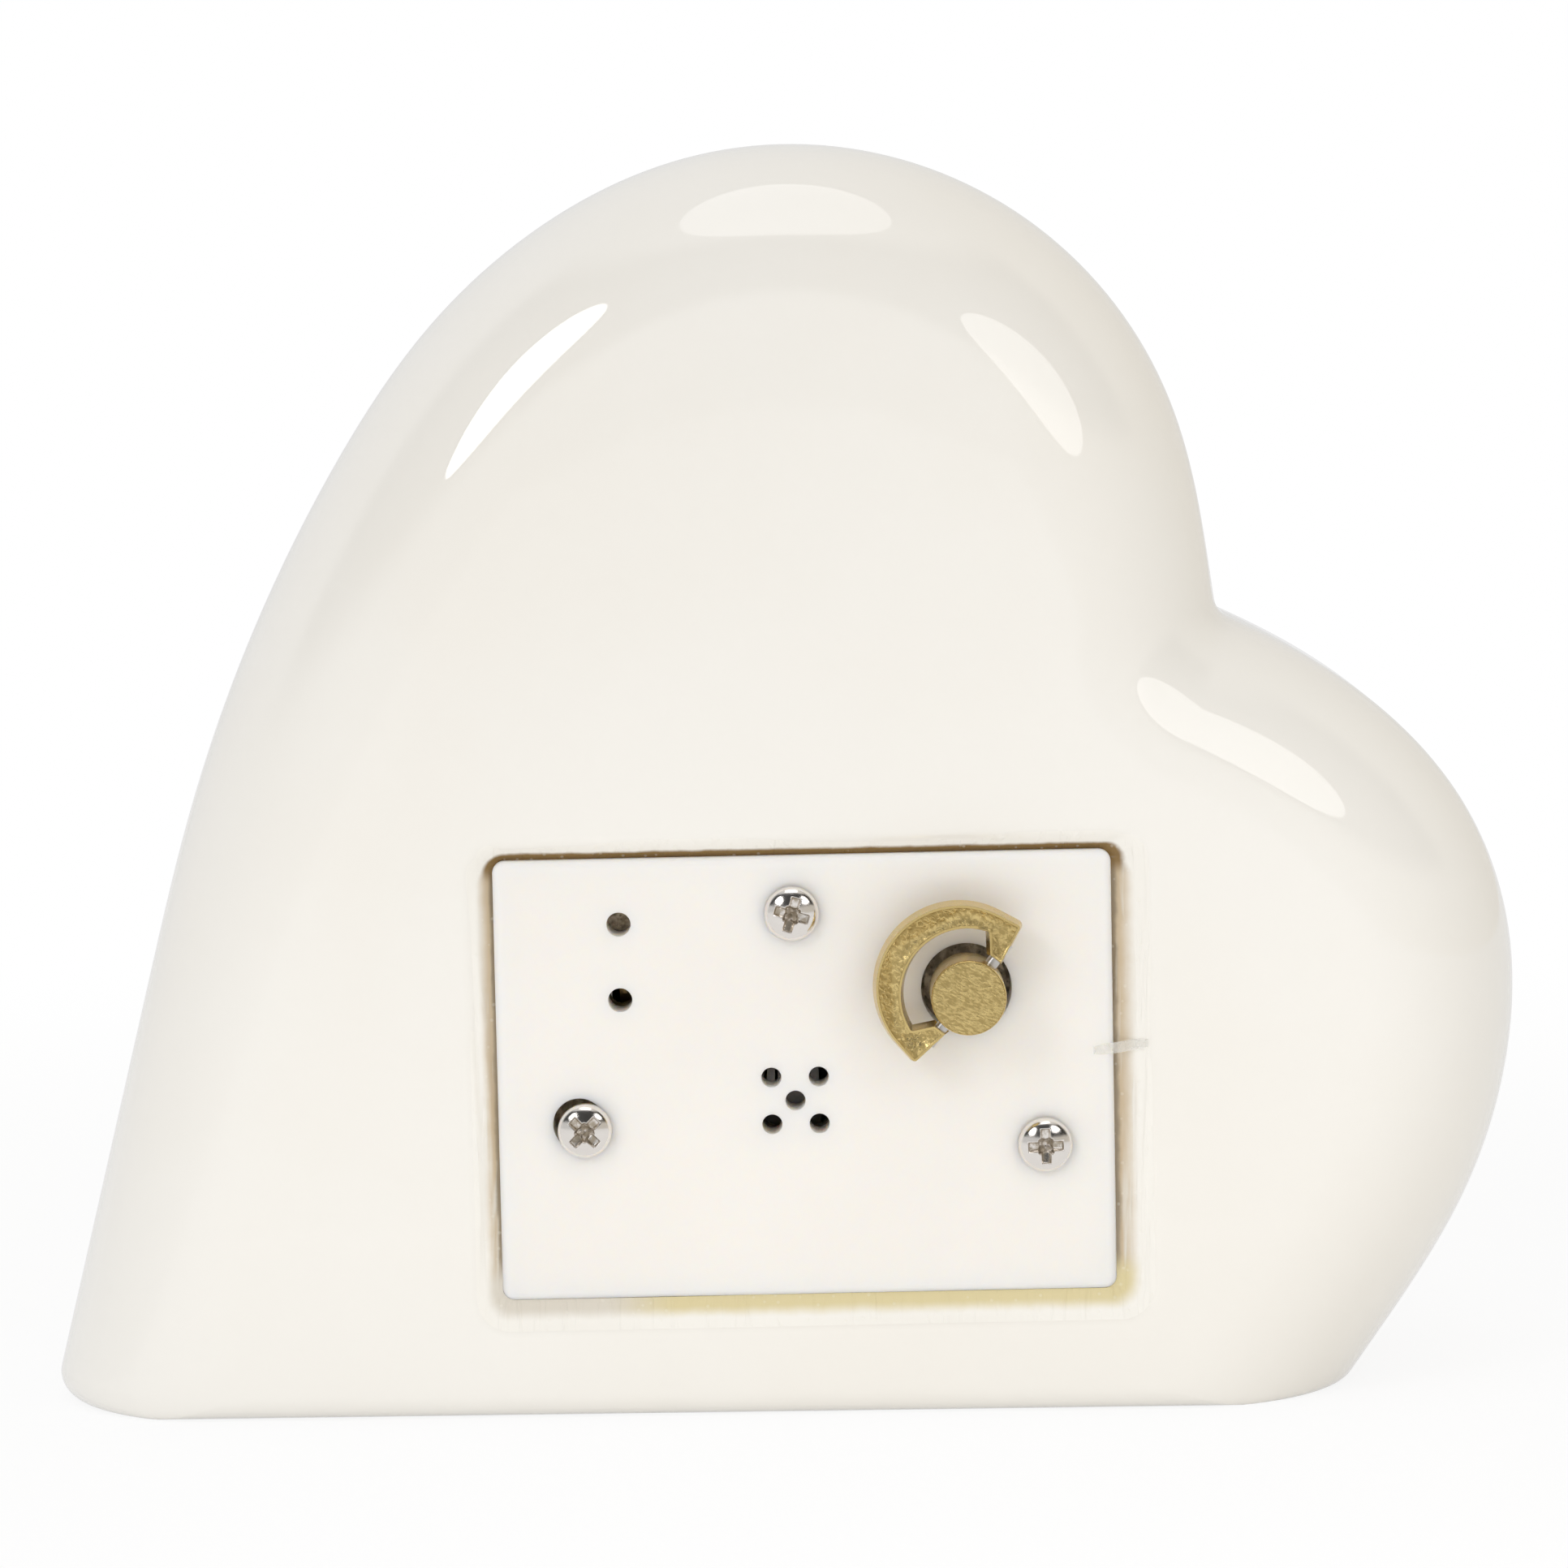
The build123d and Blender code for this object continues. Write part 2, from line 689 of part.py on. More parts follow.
# Governor
def governor_frame():
    """A bent bracket: a wall on a foot, two arms for the worm and two cheeks for its wheel."""
    left = governor_left
    right = governor_right
    wall_w = governor_foot_top - governor_wall
    frame = block(left, right, bed_thick, foot_top, governor_foot_bottom, governor_foot_top)
    frame += block(left, right, bed_thick, governor_arm_high + governor_plate, wall_w,
                   governor_foot_top)
    arm_left = worm_u - governor_arm_half
    arm_right = worm_u + governor_arm_half
    for low in (governor_arm_low, governor_arm_high):
        frame += block(arm_left, arm_right, low, low + governor_plate, wall_w, worm_w)
        frame += rod_h(worm_place, governor_arm_half, low, low + governor_plate)
        frame -= rod_h(worm_place, worm_pivot_radius + fine_clear, low, low + governor_plate)
    half = governor_cheek / 2
    for start in (left, right - governor_plate):
        end = start + governor_plate
        frame += block(start, end, cylinder_h - half, cylinder_h + half, wall_w, governor_w)
        frame += rod_u(governor_place, half, start, end)
        frame -= rod_u(governor_place, governor_arbor_radius + fine_clear, start, end)
    return frame - small_screw_hole(governor_screw_place, foot_top)


def governor_screw():
    return small_screw(governor_screw_place, foot_top)


def governor_wheel():
    """The worm wheel and the small pinion that drives it, moulded in one."""
    pinion = gear_outline(governor_teeth, governor_pitch_radius, governor_tooth_thick,
                          wheel_addendum, wheel_dedendum)
    wheel = gear_outline(worm_wheel_teeth, worm_wheel_pitch_radius, worm_wheel_tooth_thick,
                         wheel_addendum, wheel_dedendum)
    here = Pos(*governor_place)
    wheel_left = worm_u - worm_wheel_face / 2
    body = bar_u(here * wheel, wheel_left, wheel_left + worm_wheel_face)
    body += bar_u(here * pinion, wheel_right - wheel_face, wheel_right)
    body += rod_u(governor_place, governor_hub_radius, wheel_left, wheel_right)
    return body - rod_u(governor_place, governor_arbor_radius + press_clear, wheel_left, wheel_right)


def governor_arbor():
    return rod_u(governor_place, governor_arbor_radius, governor_left, governor_right)


def worm_shaft():
    """A slim shaft with one worm thread, turning in the two arms of its frame."""
    low = governor_arm_low
    high = governor_arm_high + governor_plate
    step_low = low + governor_plate + fine_clear
    step_high = governor_arm_high - fine_clear
    shaft = rod_h(worm_place, worm_core_radius, step_low, step_high)
    shaft += rod_h(worm_place, worm_pivot_radius, low, high)
    return shaft + worm_thread()


def worm_thread():
    """One right-hand thread whose gap faces the worm wheel at rest."""
    height = worm_thread_turns * worm_lead
    path = Helix(worm_lead, height, worm_core_radius)
    root = worm_core_radius - fine_clear
    depth = worm_tip_radius - worm_core_radius
    half_tip = worm_thread_thick / 2 - (worm_tip_radius - worm_pitch_radius) * flank_slope
    half_root = half_tip + (depth + fine_clear) * flank_slope
    section = Plane.XZ * Polygon((root, -half_root), (worm_tip_radius, -half_tip),
                                 (worm_tip_radius, half_tip), (root, half_root), align=None)
    thread = sweep(section, path, is_frenet=True)
    start = cylinder_h - (worm_thread_turns // 2 + 0.5) * worm_lead
    return Pos(worm_u, start, worm_w) * Rot(-90, 0, 0) * Rot(0, 0, -90) * thread


def fly():
    """The air brake: two thin vanes on a hub pressed on the worm's shaft."""
    end = fly_start + fly_height
    vanes = Rectangle(2 * fly_half, fly_thick) + Circle(fly_hub_radius)
    vanes -= Circle(worm_core_radius + press_clear)
    return slab(Pos(*worm_place) * vanes, fly_start, end)


# Winding key
def key_sketch(sketch):
    """A sketch in (s, t), s along the bail's pivot line, set on the winder's centre."""
    return Pos(*winder_place) * Rot(0, 0, key_turn) * sketch


def pivot_rod(radius, start, end):
    """A round rod along the bail's pivot line."""
    line = Pos(winder_u, pivot_h, winder_w) * Rot(0, -key_turn, 0)
    return line * bar_u(Circle(radius), start, end)


def key_hub():
    top = face_h - hub_top
    base = face_h - hub_base
    hub = rod_h(winder_place, hub_radius, top, base)
    hub = fillet(hub.edges().sort_by(Axis.Y)[0], hub_round)
    hub -= rod_h(winder_place, arbor_radius + press_clear, arbor_outer_h - press_clear, base)
    return hub - pivot_rod(key_pin_radius + press_clear, -hub_radius, hub_radius)


def key_pin():
    return pivot_rod(key_pin_radius, -key_pin_half, key_pin_half)


def bail_sketch():
    """A half-moon: a round back, pointed tips, and lugs that end beside the hub."""
    centre = Vector(0, bail_outer_shift)
    tip = Vector(bail_tip_reach, bail_tip_low)
    away = tip - centre
    start = degrees(atan2(away.Y, away.X) + acos(bail_outer_radius / away.length))
    back = CenterArc(centre, bail_outer_radius, start, 180 - 2 * start)
    window = CenterArc((0, 0), bail_inner_radius, bail_shoulder, 180 - 2 * bail_shoulder)
    edges = [back, window]
    for sign, end in ((1, 0), (-1, 1)):
        lug_high = (sign * bail_lug_end, bail_lug_high)
        lug_low = (sign * bail_lug_end, bail_lug_low)
        point = (sign * bail_tip_reach, bail_tip_low)
        edges += Polyline(window @ end, lug_high, lug_low, point, back @ end).edges()
    moon = make_face(edges)
    corners = moon.vertices().sort_by(Axis.X)
    return fillet([corners[0], corners[-1]], bail_tip_round)


def key_bail():
    """The bail, bored at both lugs for the pin."""
    outer = pivot_h - bail_thick / 2
    bail = slab(key_sketch(bail_sketch()), outer, outer + bail_thick, bail_draft)
    for sign in (1, -1):
        ends = sorted((sign * bail_lug_end, sign * (key_pin_half + fine_clear)))
        bail -= pivot_rod(key_pin_radius + shaft_clear, *ends)
    return bail


case_pieces = (
    glue_bead, movement_case, case_cover, mounting_screws, bedplate, left_bracket, right_bracket,
    bracket_screws, winding_arbor, drive_gear, ratchet_wheel, click_pawl, mainspring,
    spring_housing, housing_screws, cylinder_drum, cylinder_arbor, cylinder_pinion, cylinder_wheel,
    comb, comb_screws, governor_frame, governor_screw, governor_wheel, governor_arbor, worm_shaft,
    fly, key_hub, key_pin, key_bail,
)

os.makedirs("parts", exist_ok=True)
export_step(heart_shell(), "parts/heart_shell.step")
for piece in case_pieces:
    export_step(case_frame * piece(), f"parts/{piece.__name__}.step")
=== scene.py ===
"""Looks of a wind-up music box: a glazed heart lying on one flank, with a movement in its back."""

import json
from math import cos, pi, radians, sin, tan

import bmesh
import bpy
import numpy as np
from bpy.props import FloatProperty, FloatVectorProperty, PointerProperty
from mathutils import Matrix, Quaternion, Vector


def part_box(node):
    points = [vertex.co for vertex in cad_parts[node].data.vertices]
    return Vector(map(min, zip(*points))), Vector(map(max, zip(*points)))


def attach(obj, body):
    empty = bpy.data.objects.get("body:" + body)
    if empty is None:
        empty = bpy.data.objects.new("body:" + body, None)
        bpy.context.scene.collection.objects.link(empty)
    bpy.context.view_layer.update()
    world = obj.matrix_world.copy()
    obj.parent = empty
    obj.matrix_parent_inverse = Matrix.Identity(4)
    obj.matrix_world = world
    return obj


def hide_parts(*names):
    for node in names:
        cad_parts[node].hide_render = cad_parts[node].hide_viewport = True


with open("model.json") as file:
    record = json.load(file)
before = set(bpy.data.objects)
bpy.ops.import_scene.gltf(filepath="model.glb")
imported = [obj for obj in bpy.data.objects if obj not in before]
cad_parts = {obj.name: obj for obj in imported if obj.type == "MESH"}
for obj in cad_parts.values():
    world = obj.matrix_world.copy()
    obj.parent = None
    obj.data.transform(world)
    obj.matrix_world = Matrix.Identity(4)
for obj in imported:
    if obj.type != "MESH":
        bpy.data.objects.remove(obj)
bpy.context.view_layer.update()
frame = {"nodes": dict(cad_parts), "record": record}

bl_info = {
    "name": "Music box heart",
    "version": (1, 0, 0),
    "blender": (4, 5, 0),
    "location": "View3D > Sidebar > Music box",
    "description": "Builds the looks of a wind-up music box round its packed frame",
    "category": "Object",
}


# Settings a user would change
def length(name, description, default):
    """A length in metres."""
    return FloatProperty(name=name, description=description, default=default, unit="LENGTH",
                         precision=5)


def lengths(name, description, default):
    """Several lengths in metres."""
    return FloatVectorProperty(name=name, description=description, default=default,
                               size=len(default), unit="LENGTH", precision=5)


def turn(name, description, degrees):
    """An angle, given in degrees and kept in radians."""
    return FloatProperty(name=name, description=description, default=radians(degrees),
                         unit="ROTATION", subtype="ANGLE")


def turns(name, description, degrees):
    """Several such angles."""
    return FloatVectorProperty(name=name, description=description, unit="ROTATION",
                               default=[radians(each) for each in degrees], size=len(degrees))


def tint(name, description, default):
    """A colour of three linear values."""
    return FloatVectorProperty(name=name, description=description, default=default, size=3,
                               subtype="COLOR", min=0, max=1)


def share(name, description, default):
    """A part of one."""
    return FloatProperty(name=name, description=description, default=default, subtype="FACTOR",
                         min=0, max=1)


class HeartSettings(bpy.types.PropertyGroup):
    depth: length("Depth", "From the back to the front", 0.048)
    wall: length("Wall", "Thickness of the fired clay", 0.004)
    floor: length("Floor", "Thickness over the foot", 0.005)
    edge_round: length("Edge round", "Radius of the rim", 0.017)
    foot_round: length("Foot round", "Radius round the cut foot", 0.0025)
    flank_foot: length("Flank foot", "Where the left flank meets the foot, along X", -0.07572)
    flank_lean: turn("Flank lean", "From the foot to the left flank", 75.8)
    flank_run: length("Flank run", "Straight part of the left flank", 0.0535)
    upper_radii: lengths("Upper radii", "Arcs of the upper lobe", (0.160, 0.0585, 0.0415))
    upper_sweeps: turns("Upper sweeps", "Turn of each of those arcs", (20.0, 30.0, 107.5))
    lower_radii: lengths("Lower radii", "Arcs of the lower lobe", (0.058, 0.0345, 0.053))
    lower_sweeps: turns("Lower sweeps", "Turn of each of those arcs", (20.5, 47.0, 34.0))
    lower_start: lengths("Lower start", "Where the lower lobe's arcs start", (0.04629, 0.07772))
    lower_lean: turn("Lower lean", "The way the lower lobe leaves the cleft", -23.2)
    cleft_round: length("Cleft round", "Radius at the bottom of the cleft", 0.0025)
    ease: length("Ease", "Reach over which one arc of the outline turns into the next", 0.018)
    glaze: tint("Glaze", "Colour of the glaze", (0.885, 0.863, 0.816))
    thin_glaze: tint("Thin glaze", "Colour where the glaze is thin", (0.855, 0.818, 0.748))


class CaseSettings(bpy.types.PropertyGroup):
    middle: lengths("Middle", "Middle of the case's outer face", (0.00174, -0.0243, 0.03426))
    tilt: turn("Tilt", "How far the right end is up", 0.4)
    size: lengths("Size", "Width and height of the case", (0.0612, 0.0440))
    corner: length("Corner", "Radius of the case's corners", 0.0012)
    gap: lengths("Gap", "Room for glue at the sides and at the top and bottom", (0.0018, 0.00115))
    opening_shift: lengths("Opening shift", "From the middle of the case to the opening's",
                           (0.0006, -0.00065))
    opening_corner: length("Opening corner", "Radius of the opening's corners", 0.002)
    opening_lip: length("Opening lip", "Radius of the opening's edge", 0.0020)
    plastic: tint("Plastic", "Colour of the case", (0.905, 0.873, 0.832))


class GlueSettings(bpy.types.PropertyGroup):
    back: length("Back", "Place of the glue's inner side along Y", -0.0188)
    shallow: length("Shallow", "Depth under the heart's back beside the case, along the bottom", 0.00032)
    deep: length("Deep", "Depth under the heart's back beside the case, along the top", 0.0012)
    flush: length("Flush", "Depth under the heart's back where the glue ends", 0.00010)
    amber: tint("Amber", "Colour along the bottom", (0.75, 0.65, 0.37))
    pale: tint("Pale", "Colour where it thins out on the heart", (0.950, 0.925, 0.868))
    beige: tint("Beige", "Colour at the sides", (0.62, 0.50, 0.34))
    clear: tint("Clear", "Colour of the strands", (0.74, 0.69, 0.60))
    # Painted shade: this dark brown stands for the shadow down the narrow gap at the top
    brown: tint("Brown", "Colour at the top", (0.26, 0.16, 0.055))
    film: tint("Film", "Colour of the smear over the gap", (0.84, 0.83, 0.79))
    smear: lengths("Smear", "Ends of the smear on the case's face, then its height on it",
                   (0.0286, 0.0340, 0.0020))
    smear_half: lengths("Smear half", "Half the smear's width and thickness", (0.00055, 0.00005))
    smear_fall: lengths("Smear fall", "Its climb from end to end, and its dip over the gap",
                        (0.0006, 0.0003))
    wave: length("Wave", "Height of the slow waves along the bead", 0.00005)
    strand: length("Strand", "Height of the strands up the sides", 0.00016)
    sag: lengths("Sag", "Hollow across the bead, and how much that changes along it", (0.00010, 0.00006))
    bite: length("Bite", "How far the bead's edge reaches into the heart", 0.00004)
    bond: length("Bond", "Least depth of the bead against the heart", 0.0004)


class ScrewSettings(bpy.types.PropertyGroup):
    top: lengths("Top screw", "Place on the case's face", (-0.00105, 0.01635))
    left: lengths("Left screw", "Place on the case's face", (-0.0220, -0.0049))
    right: lengths("Right screw", "Place on the case's face", (0.02365, -0.00725))
    slots: turns("Slots", "How far each cross is turned", (-17.0, 45.0, 2.0))
    head_radius: length("Head radius", "Radius of the head", 0.0027)
    head_height: length("Head height", "Height of the head", 0.0021)
    crown: length("Crown", "Radius of the head's top", 0.0042)
    shoulder: turn("Shoulder", "Slope where the top turns into the edge", 31.0)
    cross: lengths("Cross", "Reach of an arm, half its width, and half its soft edge",
                   (0.00172, 0.00042, 0.00011))
    arm_floor: lengths("Arm floor", "Depth of an arm at its end, and its fall to the middle",
                       (0.00066, 0.0005))
    well: lengths("Well", "Radius of the cross's well, its scallop and its soft edge",
                  (0.00090, 0.00016, 0.0003))
    well_floor: lengths("Well floor", "Depth of the well, and the radius that its floor rises to",
                        (0.0005, 0.001))
    shank_radius: length("Shank radius", "Radius of the shank", 0.00145)
    shank_length: length("Shank length", "From under the head to the tip", 0.0084)
    chrome: tint("Chrome", "Colour of the plating", (0.85, 0.81, 0.77))
    cross_brown: tint("Grime", "Colour inside the cross", (0.36, 0.285, 0.18))


class KeySettings(bpy.types.PropertyGroup):
    hub_edge: length("Hub edge", "Roundness of the hub's edges", 0.00028)
    bail_edge: length("Bail edge", "Roundness of the bail's edges", 0.00013)
    brass: tint("Brass", "Colour of the casting", (0.76, 0.585, 0.255))
    dull_brass: tint("Dull brass", "Colour in its hollows", (0.34, 0.235, 0.075))
    border: lengths("Border", "Width of the bail's border, then run and depth of the slope to its field",
                    (0.00022, 0.00007, 0.00012))
    hub_pebble: lengths("Hub pebble", "Size of the grain on the hub", (0.00060, 0.0004, 0.00020))
    bail_pebble: lengths("Bail pebble", "Size of the grain on the bail", (0.00050, 0.0004, 0.00034))
    leans: turns("Leans", "How far the grain of the hub and of the bail is turned", (28.648, 34.377))
    pin: tint("Pin", "Colour of the pin", (0.66, 0.645, 0.63))


class MovementSettings(bpy.types.PropertyGroup):
    steel: tint("Steel", "Colour of machined steel", (0.60, 0.60, 0.61))
    spring: tint("Spring", "Colour of blued spring steel", (0.30, 0.33, 0.42))
    casting: tint("Casting", "Colour of the cast bedplate", (0.24, 0.205, 0.155))
    gear_brass: tint("Gear brass", "Colour of the gears and the cylinder", (0.70, 0.52, 0.24))
    nylon: tint("Nylon", "Colour of the governor's wheel and the fly", (0.80, 0.79, 0.74))


class StageSettings(bpy.types.PropertyGroup):
    aim: lengths("Aim", "Point the camera looks at", (0.0, 0.0, 0.06096))
    distance: length("Distance", "From that point to the camera", 0.570)
    elevation: turn("Elevation", "How far the camera looks down", 5.8)
    roll: turn("Roll", "How far the camera is turned about its line of sight", 0.8)
    lens: FloatProperty(name="Lens", description="Focal length on a 36 mm sensor", default=127.0,
                        unit="CAMERA")
    front_level: share("Front level", "Light that comes from the camera's side", 0.612)
    back_level: share("Back level", "Light that comes from behind the object", 0.76)
    warm: tint("Warm", "Colour of the light from the right", (1.0, 0.945, 0.85))
    floor: tint("Floor", "Colour of the floor", (0.97, 0.97, 0.97))


# Shader sums
class Flow:
    """An output of a node that takes part in sums, each of which adds the node it needs."""

    def __init__(self, tree, socket):
        self.tree = tree
        self.socket = socket

    def node(self, kind, settings=None, inputs=None, output=0):
        """Any node: its settings are set first, then the values or links of its sockets."""
        made = self.tree.nodes.new(kind)
        for name, value in (settings or {}).items():
            setattr(made, name, value)
        for name, value in (inputs or {}).items():
            if isinstance(value, Flow):
                self.tree.links.new(value.socket, made.inputs[name])
            else:
                made.inputs[name].default_value = value
        return Flow(self.tree, made.outputs[output])

    def combine(self, operation, first, second):
        """A sum of two values. Colours go through Mix and vectors through Vector Math."""
        kinds = [each.socket.type for each in (first, second) if isinstance(each, Flow)]
        if "RGBA" in kinds:
            return self.node("ShaderNodeMix", {"data_type": "RGBA", "blend_type": operation},
                             {0: 1.0, 6: colour(first), 7: colour(second)}, 2)
        if "VECTOR" in kinds:
            return self.node("ShaderNodeVectorMath", {"operation": operation},
                             {0: spread(first), 1: spread(second)})
        return self.node("ShaderNodeMath", {"operation": operation}, {0: first, 1: second})

    def __add__(self, other):
        return self.combine("ADD", self, other)

    def __radd__(self, other):
        return self.combine("ADD", other, self)

    def __sub__(self, other):
        return self.combine("SUBTRACT", self, other)

    def __rsub__(self, other):
        return self.combine("SUBTRACT", other, self)

    def __mul__(self, other):
        return self.combine("MULTIPLY", self, other)

    def __rmul__(self, other):
        return self.combine("MULTIPLY", other, self)

    def smooth(self, low, high):
        """A soft step from 0 at low to 1 at high."""
        return self.node("ShaderNodeMapRange", {"interpolation_type": "SMOOTHSTEP"},
                         {"Value": self, "From Min": low, "From Max": high})

    def between(self, first, second):
        """The first colour where this value is 0 and the second where it is 1."""
        return self.node("ShaderNodeMix", {"data_type": "RGBA"},
                         {0: self, 6: colour(first), 7: colour(second)}, 2)

    def noise(self, size, detail=2.0, roughness=0.5, distortion=0.0):
        """Cloudy values about 0.5, with features of a size in metres."""
        return self.node("ShaderNodeTexNoise", {},
                         {"Vector": self, "Scale": 1 / size, "Detail": detail,
                          "Roughness": roughness, "Distortion": distortion})

    def cells(self, size, output="Distance"):
        """Distance to the nearest of scattered points, in units of their spacing."""
        return self.node("ShaderNodeTexVoronoi", {}, {"Vector": self, "Scale": 1 / size}, output)

    def stretched(self, scale, rotation=(0, 0, 0)):
        """These places in a turned frame whose unit along each axis is a length in metres."""
        return self.node("ShaderNodeMapping", {"vector_type": "TEXTURE"},
                         {"Vector": self, "Scale": scale, "Rotation": rotation})

    def mark(self, name):
        """The number that a piece keeps for each of its points under a name."""
        return self.node("ShaderNodeAttribute", {"attribute_name": name}, output="Fac")

    def axis(self, name):
        """The part of these places along X, Y or Z."""
        return self.node("ShaderNodeSeparateXYZ", {}, {"Vector": self}, name)

    def bump(self, depth, strength):
        """A surface normal that this height, times a depth in metres, would give."""
        return self.node("ShaderNodeBump", {}, {"Height": self, "Distance": depth,
                                                "Strength": strength})


def spread(value):
    """What a vector socket takes for an output, a number or three numbers."""
    if isinstance(value, (int, float)):
        return value, value, value
    return value if isinstance(value, Flow) else tuple(value)


def colour(value):
    """What a colour socket takes for an output, a number or three numbers."""
    return value if isinstance(value, Flow) else (*spread(value), 1.0)


def finish(name, look, constants):
    """A material: constants are set on the shader's sockets, and look links what varies."""
    material = bpy.data.materials.new(name)
    material.use_nodes = True
    tree = material.node_tree
    tree.nodes.clear()
    shader = tree.nodes.new("ShaderNodeBsdfPrincipled")
    output = tree.nodes.new("ShaderNodeOutputMaterial")
    tree.links.new(shader.outputs[0], output.inputs[0])
    for socket, value in constants.items():
        shader.inputs[socket].default_value = value
    place = Flow(tree, tree.nodes.new("ShaderNodeTexCoord").outputs["Object"])
    for socket, flow in look(place).items():
        tree.links.new(flow.socket, shader.inputs[socket])
    return material


def glaze_finish(heart):
    """Pooled glaze: slow drifts of tone, rare iron specks and a faint ripple."""
    def look(place):
        drift = place.noise(0.045, 3.0).smooth(0.38, 0.66)
        tone = (drift * 0.35).between(heart.glaze, heart.thin_glaze)
        fleck = 1 - place.cells(0.011).smooth(0.008, 0.016)
        rare = place.cells(0.011, "Color").axis("X").smooth(0.86, 0.9)
        tone = (fleck * rare * 0.75).between(tone, (0.22, 0.17, 0.12))
        ripple = place.noise(0.016, 1.0) + place.noise(0.0035, 1.0) * 0.05
        return {"Base Color": tone,
                "Roughness": place.noise(0.012, 3.0) * 0.03 + 0.015,
                "Normal": ripple.bump(0.0003, 0.06)}
    return finish("glaze", look, {"IOR": 1.5, "Coat Weight": 0.7, "Coat Roughness": 0.012})


def case_finish(settings):
    """Moulded plastic: a fine satin skin, handling marks and dust."""
    def look(place):
        drift = place.noise(0.02, 3.0).smooth(0.35, 0.7)
        tone = (drift * 0.5).between(settings.plastic, [each * 0.975 for each in settings.plastic])
        spot = 1 - place.cells(0.0042).smooth(0.012, 0.03)
        rare = place.cells(0.0042, "Color").axis("Y").smooth(0.70, 0.74)
        tone = (spot * rare * 0.55).between(tone, (0.30, 0.26, 0.20))
        rub = place.stretched((0.012, 0.012, 0.0011), (0, 0.5, 0)).noise(1.0, 3.0).smooth(0.6, 0.75)
        return {"Base Color": tone,
                "Roughness": 0.40 + place.noise(0.004, 4.0) * 0.12 - rub * 0.08,
                "Normal": place.noise(0.0005, 2.0).bump(0.00002, 0.25)}
    return finish("case_plastic", look, {"IOR": 1.46, "Subsurface Weight": 0.8, "Subsurface Scale": 1.0,
                                         "Subsurface Radius": (0.0030, 0.0026, 0.0020)})


def glue_finish(settings):
    """Set glue: amber along the bottom, a dark brown painted shade in the narrow gap at the top,
    and beige with pale strands up the sides, all thinning out to the heart's colour; small
    bubbles; a film of it is clear. Painted shade also darkens the beige along the case's edge
    and turns the left end of the bottom grey."""
    def look(place):
        film = place.mark("film")
        height = place.axis("Z")
        strand = place.stretched((0.0008, 0.0008, 0.011)).noise(1.0, 2.0, 0.5, 0.6).smooth(0.50, 0.74)
        across = place.mark("across") + (place.noise(0.0022, 3.0) - 0.5) * 0.16
        # Along the bottom: amber, giving way at the left end to the greyer clear colour, a painted grey
        # shade where no glue shows
        low = place.axis("X").smooth(-0.011, -0.019).between(settings.amber, settings.clear)
        tone = strand.between(settings.beige, settings.clear)
        # Painted shade: a darker beige next to the case stands for the shade in the crease beside it
        tone = across.smooth(0.05, 0.20).between([each * 0.55 for each in settings.beige], tone)
        cloud = (place.noise(0.007, 3.0) - 0.5) * 0.002
        bottom = (height + cloud).smooth(0.0165, 0.0135)
        # Painted shade: at the top the glue turns dark brown, standing for the shadow down the narrow
        # gap
        top = (height + cloud).smooth(0.0535, 0.0555)
        tone = top.between(bottom.between(tone, low), settings.brown)
        thin = across.smooth(0.18 + bottom * 0.10 + top * 0.06, 0.66 + bottom * 0.06 - top * 0.22)
        tone = thin.between(tone, settings.pale)
        bubble = 1 - place.cells(0.0011).smooth(0.1, 0.2)
        tone = (bubble * 0.2).between(tone, (0.95, 0.92, 0.82))
        return {"Base Color": film.between(tone, settings.film),
                "Roughness": place.noise(0.003, 2.0) * 0.2 + 0.12,
                "Alpha": 1 - film * (place.noise(0.0012, 2.0) * 0.4 + 0.5),
                "Normal": (strand + bubble * 0.3).bump(0.00012, 0.5)}
    return finish("glue", look, {"IOR": 1.48, "Transmission Weight": 0.08})


def chrome_finish(settings):
    """Bright plating, with fine scratches on the head and patches of darker brown down in the cross."""
    def look(place):
        sunk = place.mark("sunk")
        patch = place.noise(0.0006, 3.0)
        # Darker brown in patches down in the cross
        brown_patches = (sunk * (patch * 0.8 + 0.35)).smooth(0.25, 0.75)
        scratch = place.stretched((0.0004, 0.0004, 0.00006), (0, 0.7, 0)).noise(1.0, 3.0)
        brown_patches = brown_patches * patch.smooth(0.35, 0.62)
        return {"Base Color": (brown_patches * 0.75).between(settings.chrome, settings.cross_brown),
                "Roughness": 0.09 + scratch * 0.10 + brown_patches * 0.25,
                "Normal": (scratch * 0.4 + patch).bump(0.00002, 0.3)}
    return finish("screw_chrome", look, {"Metallic": 1.0})


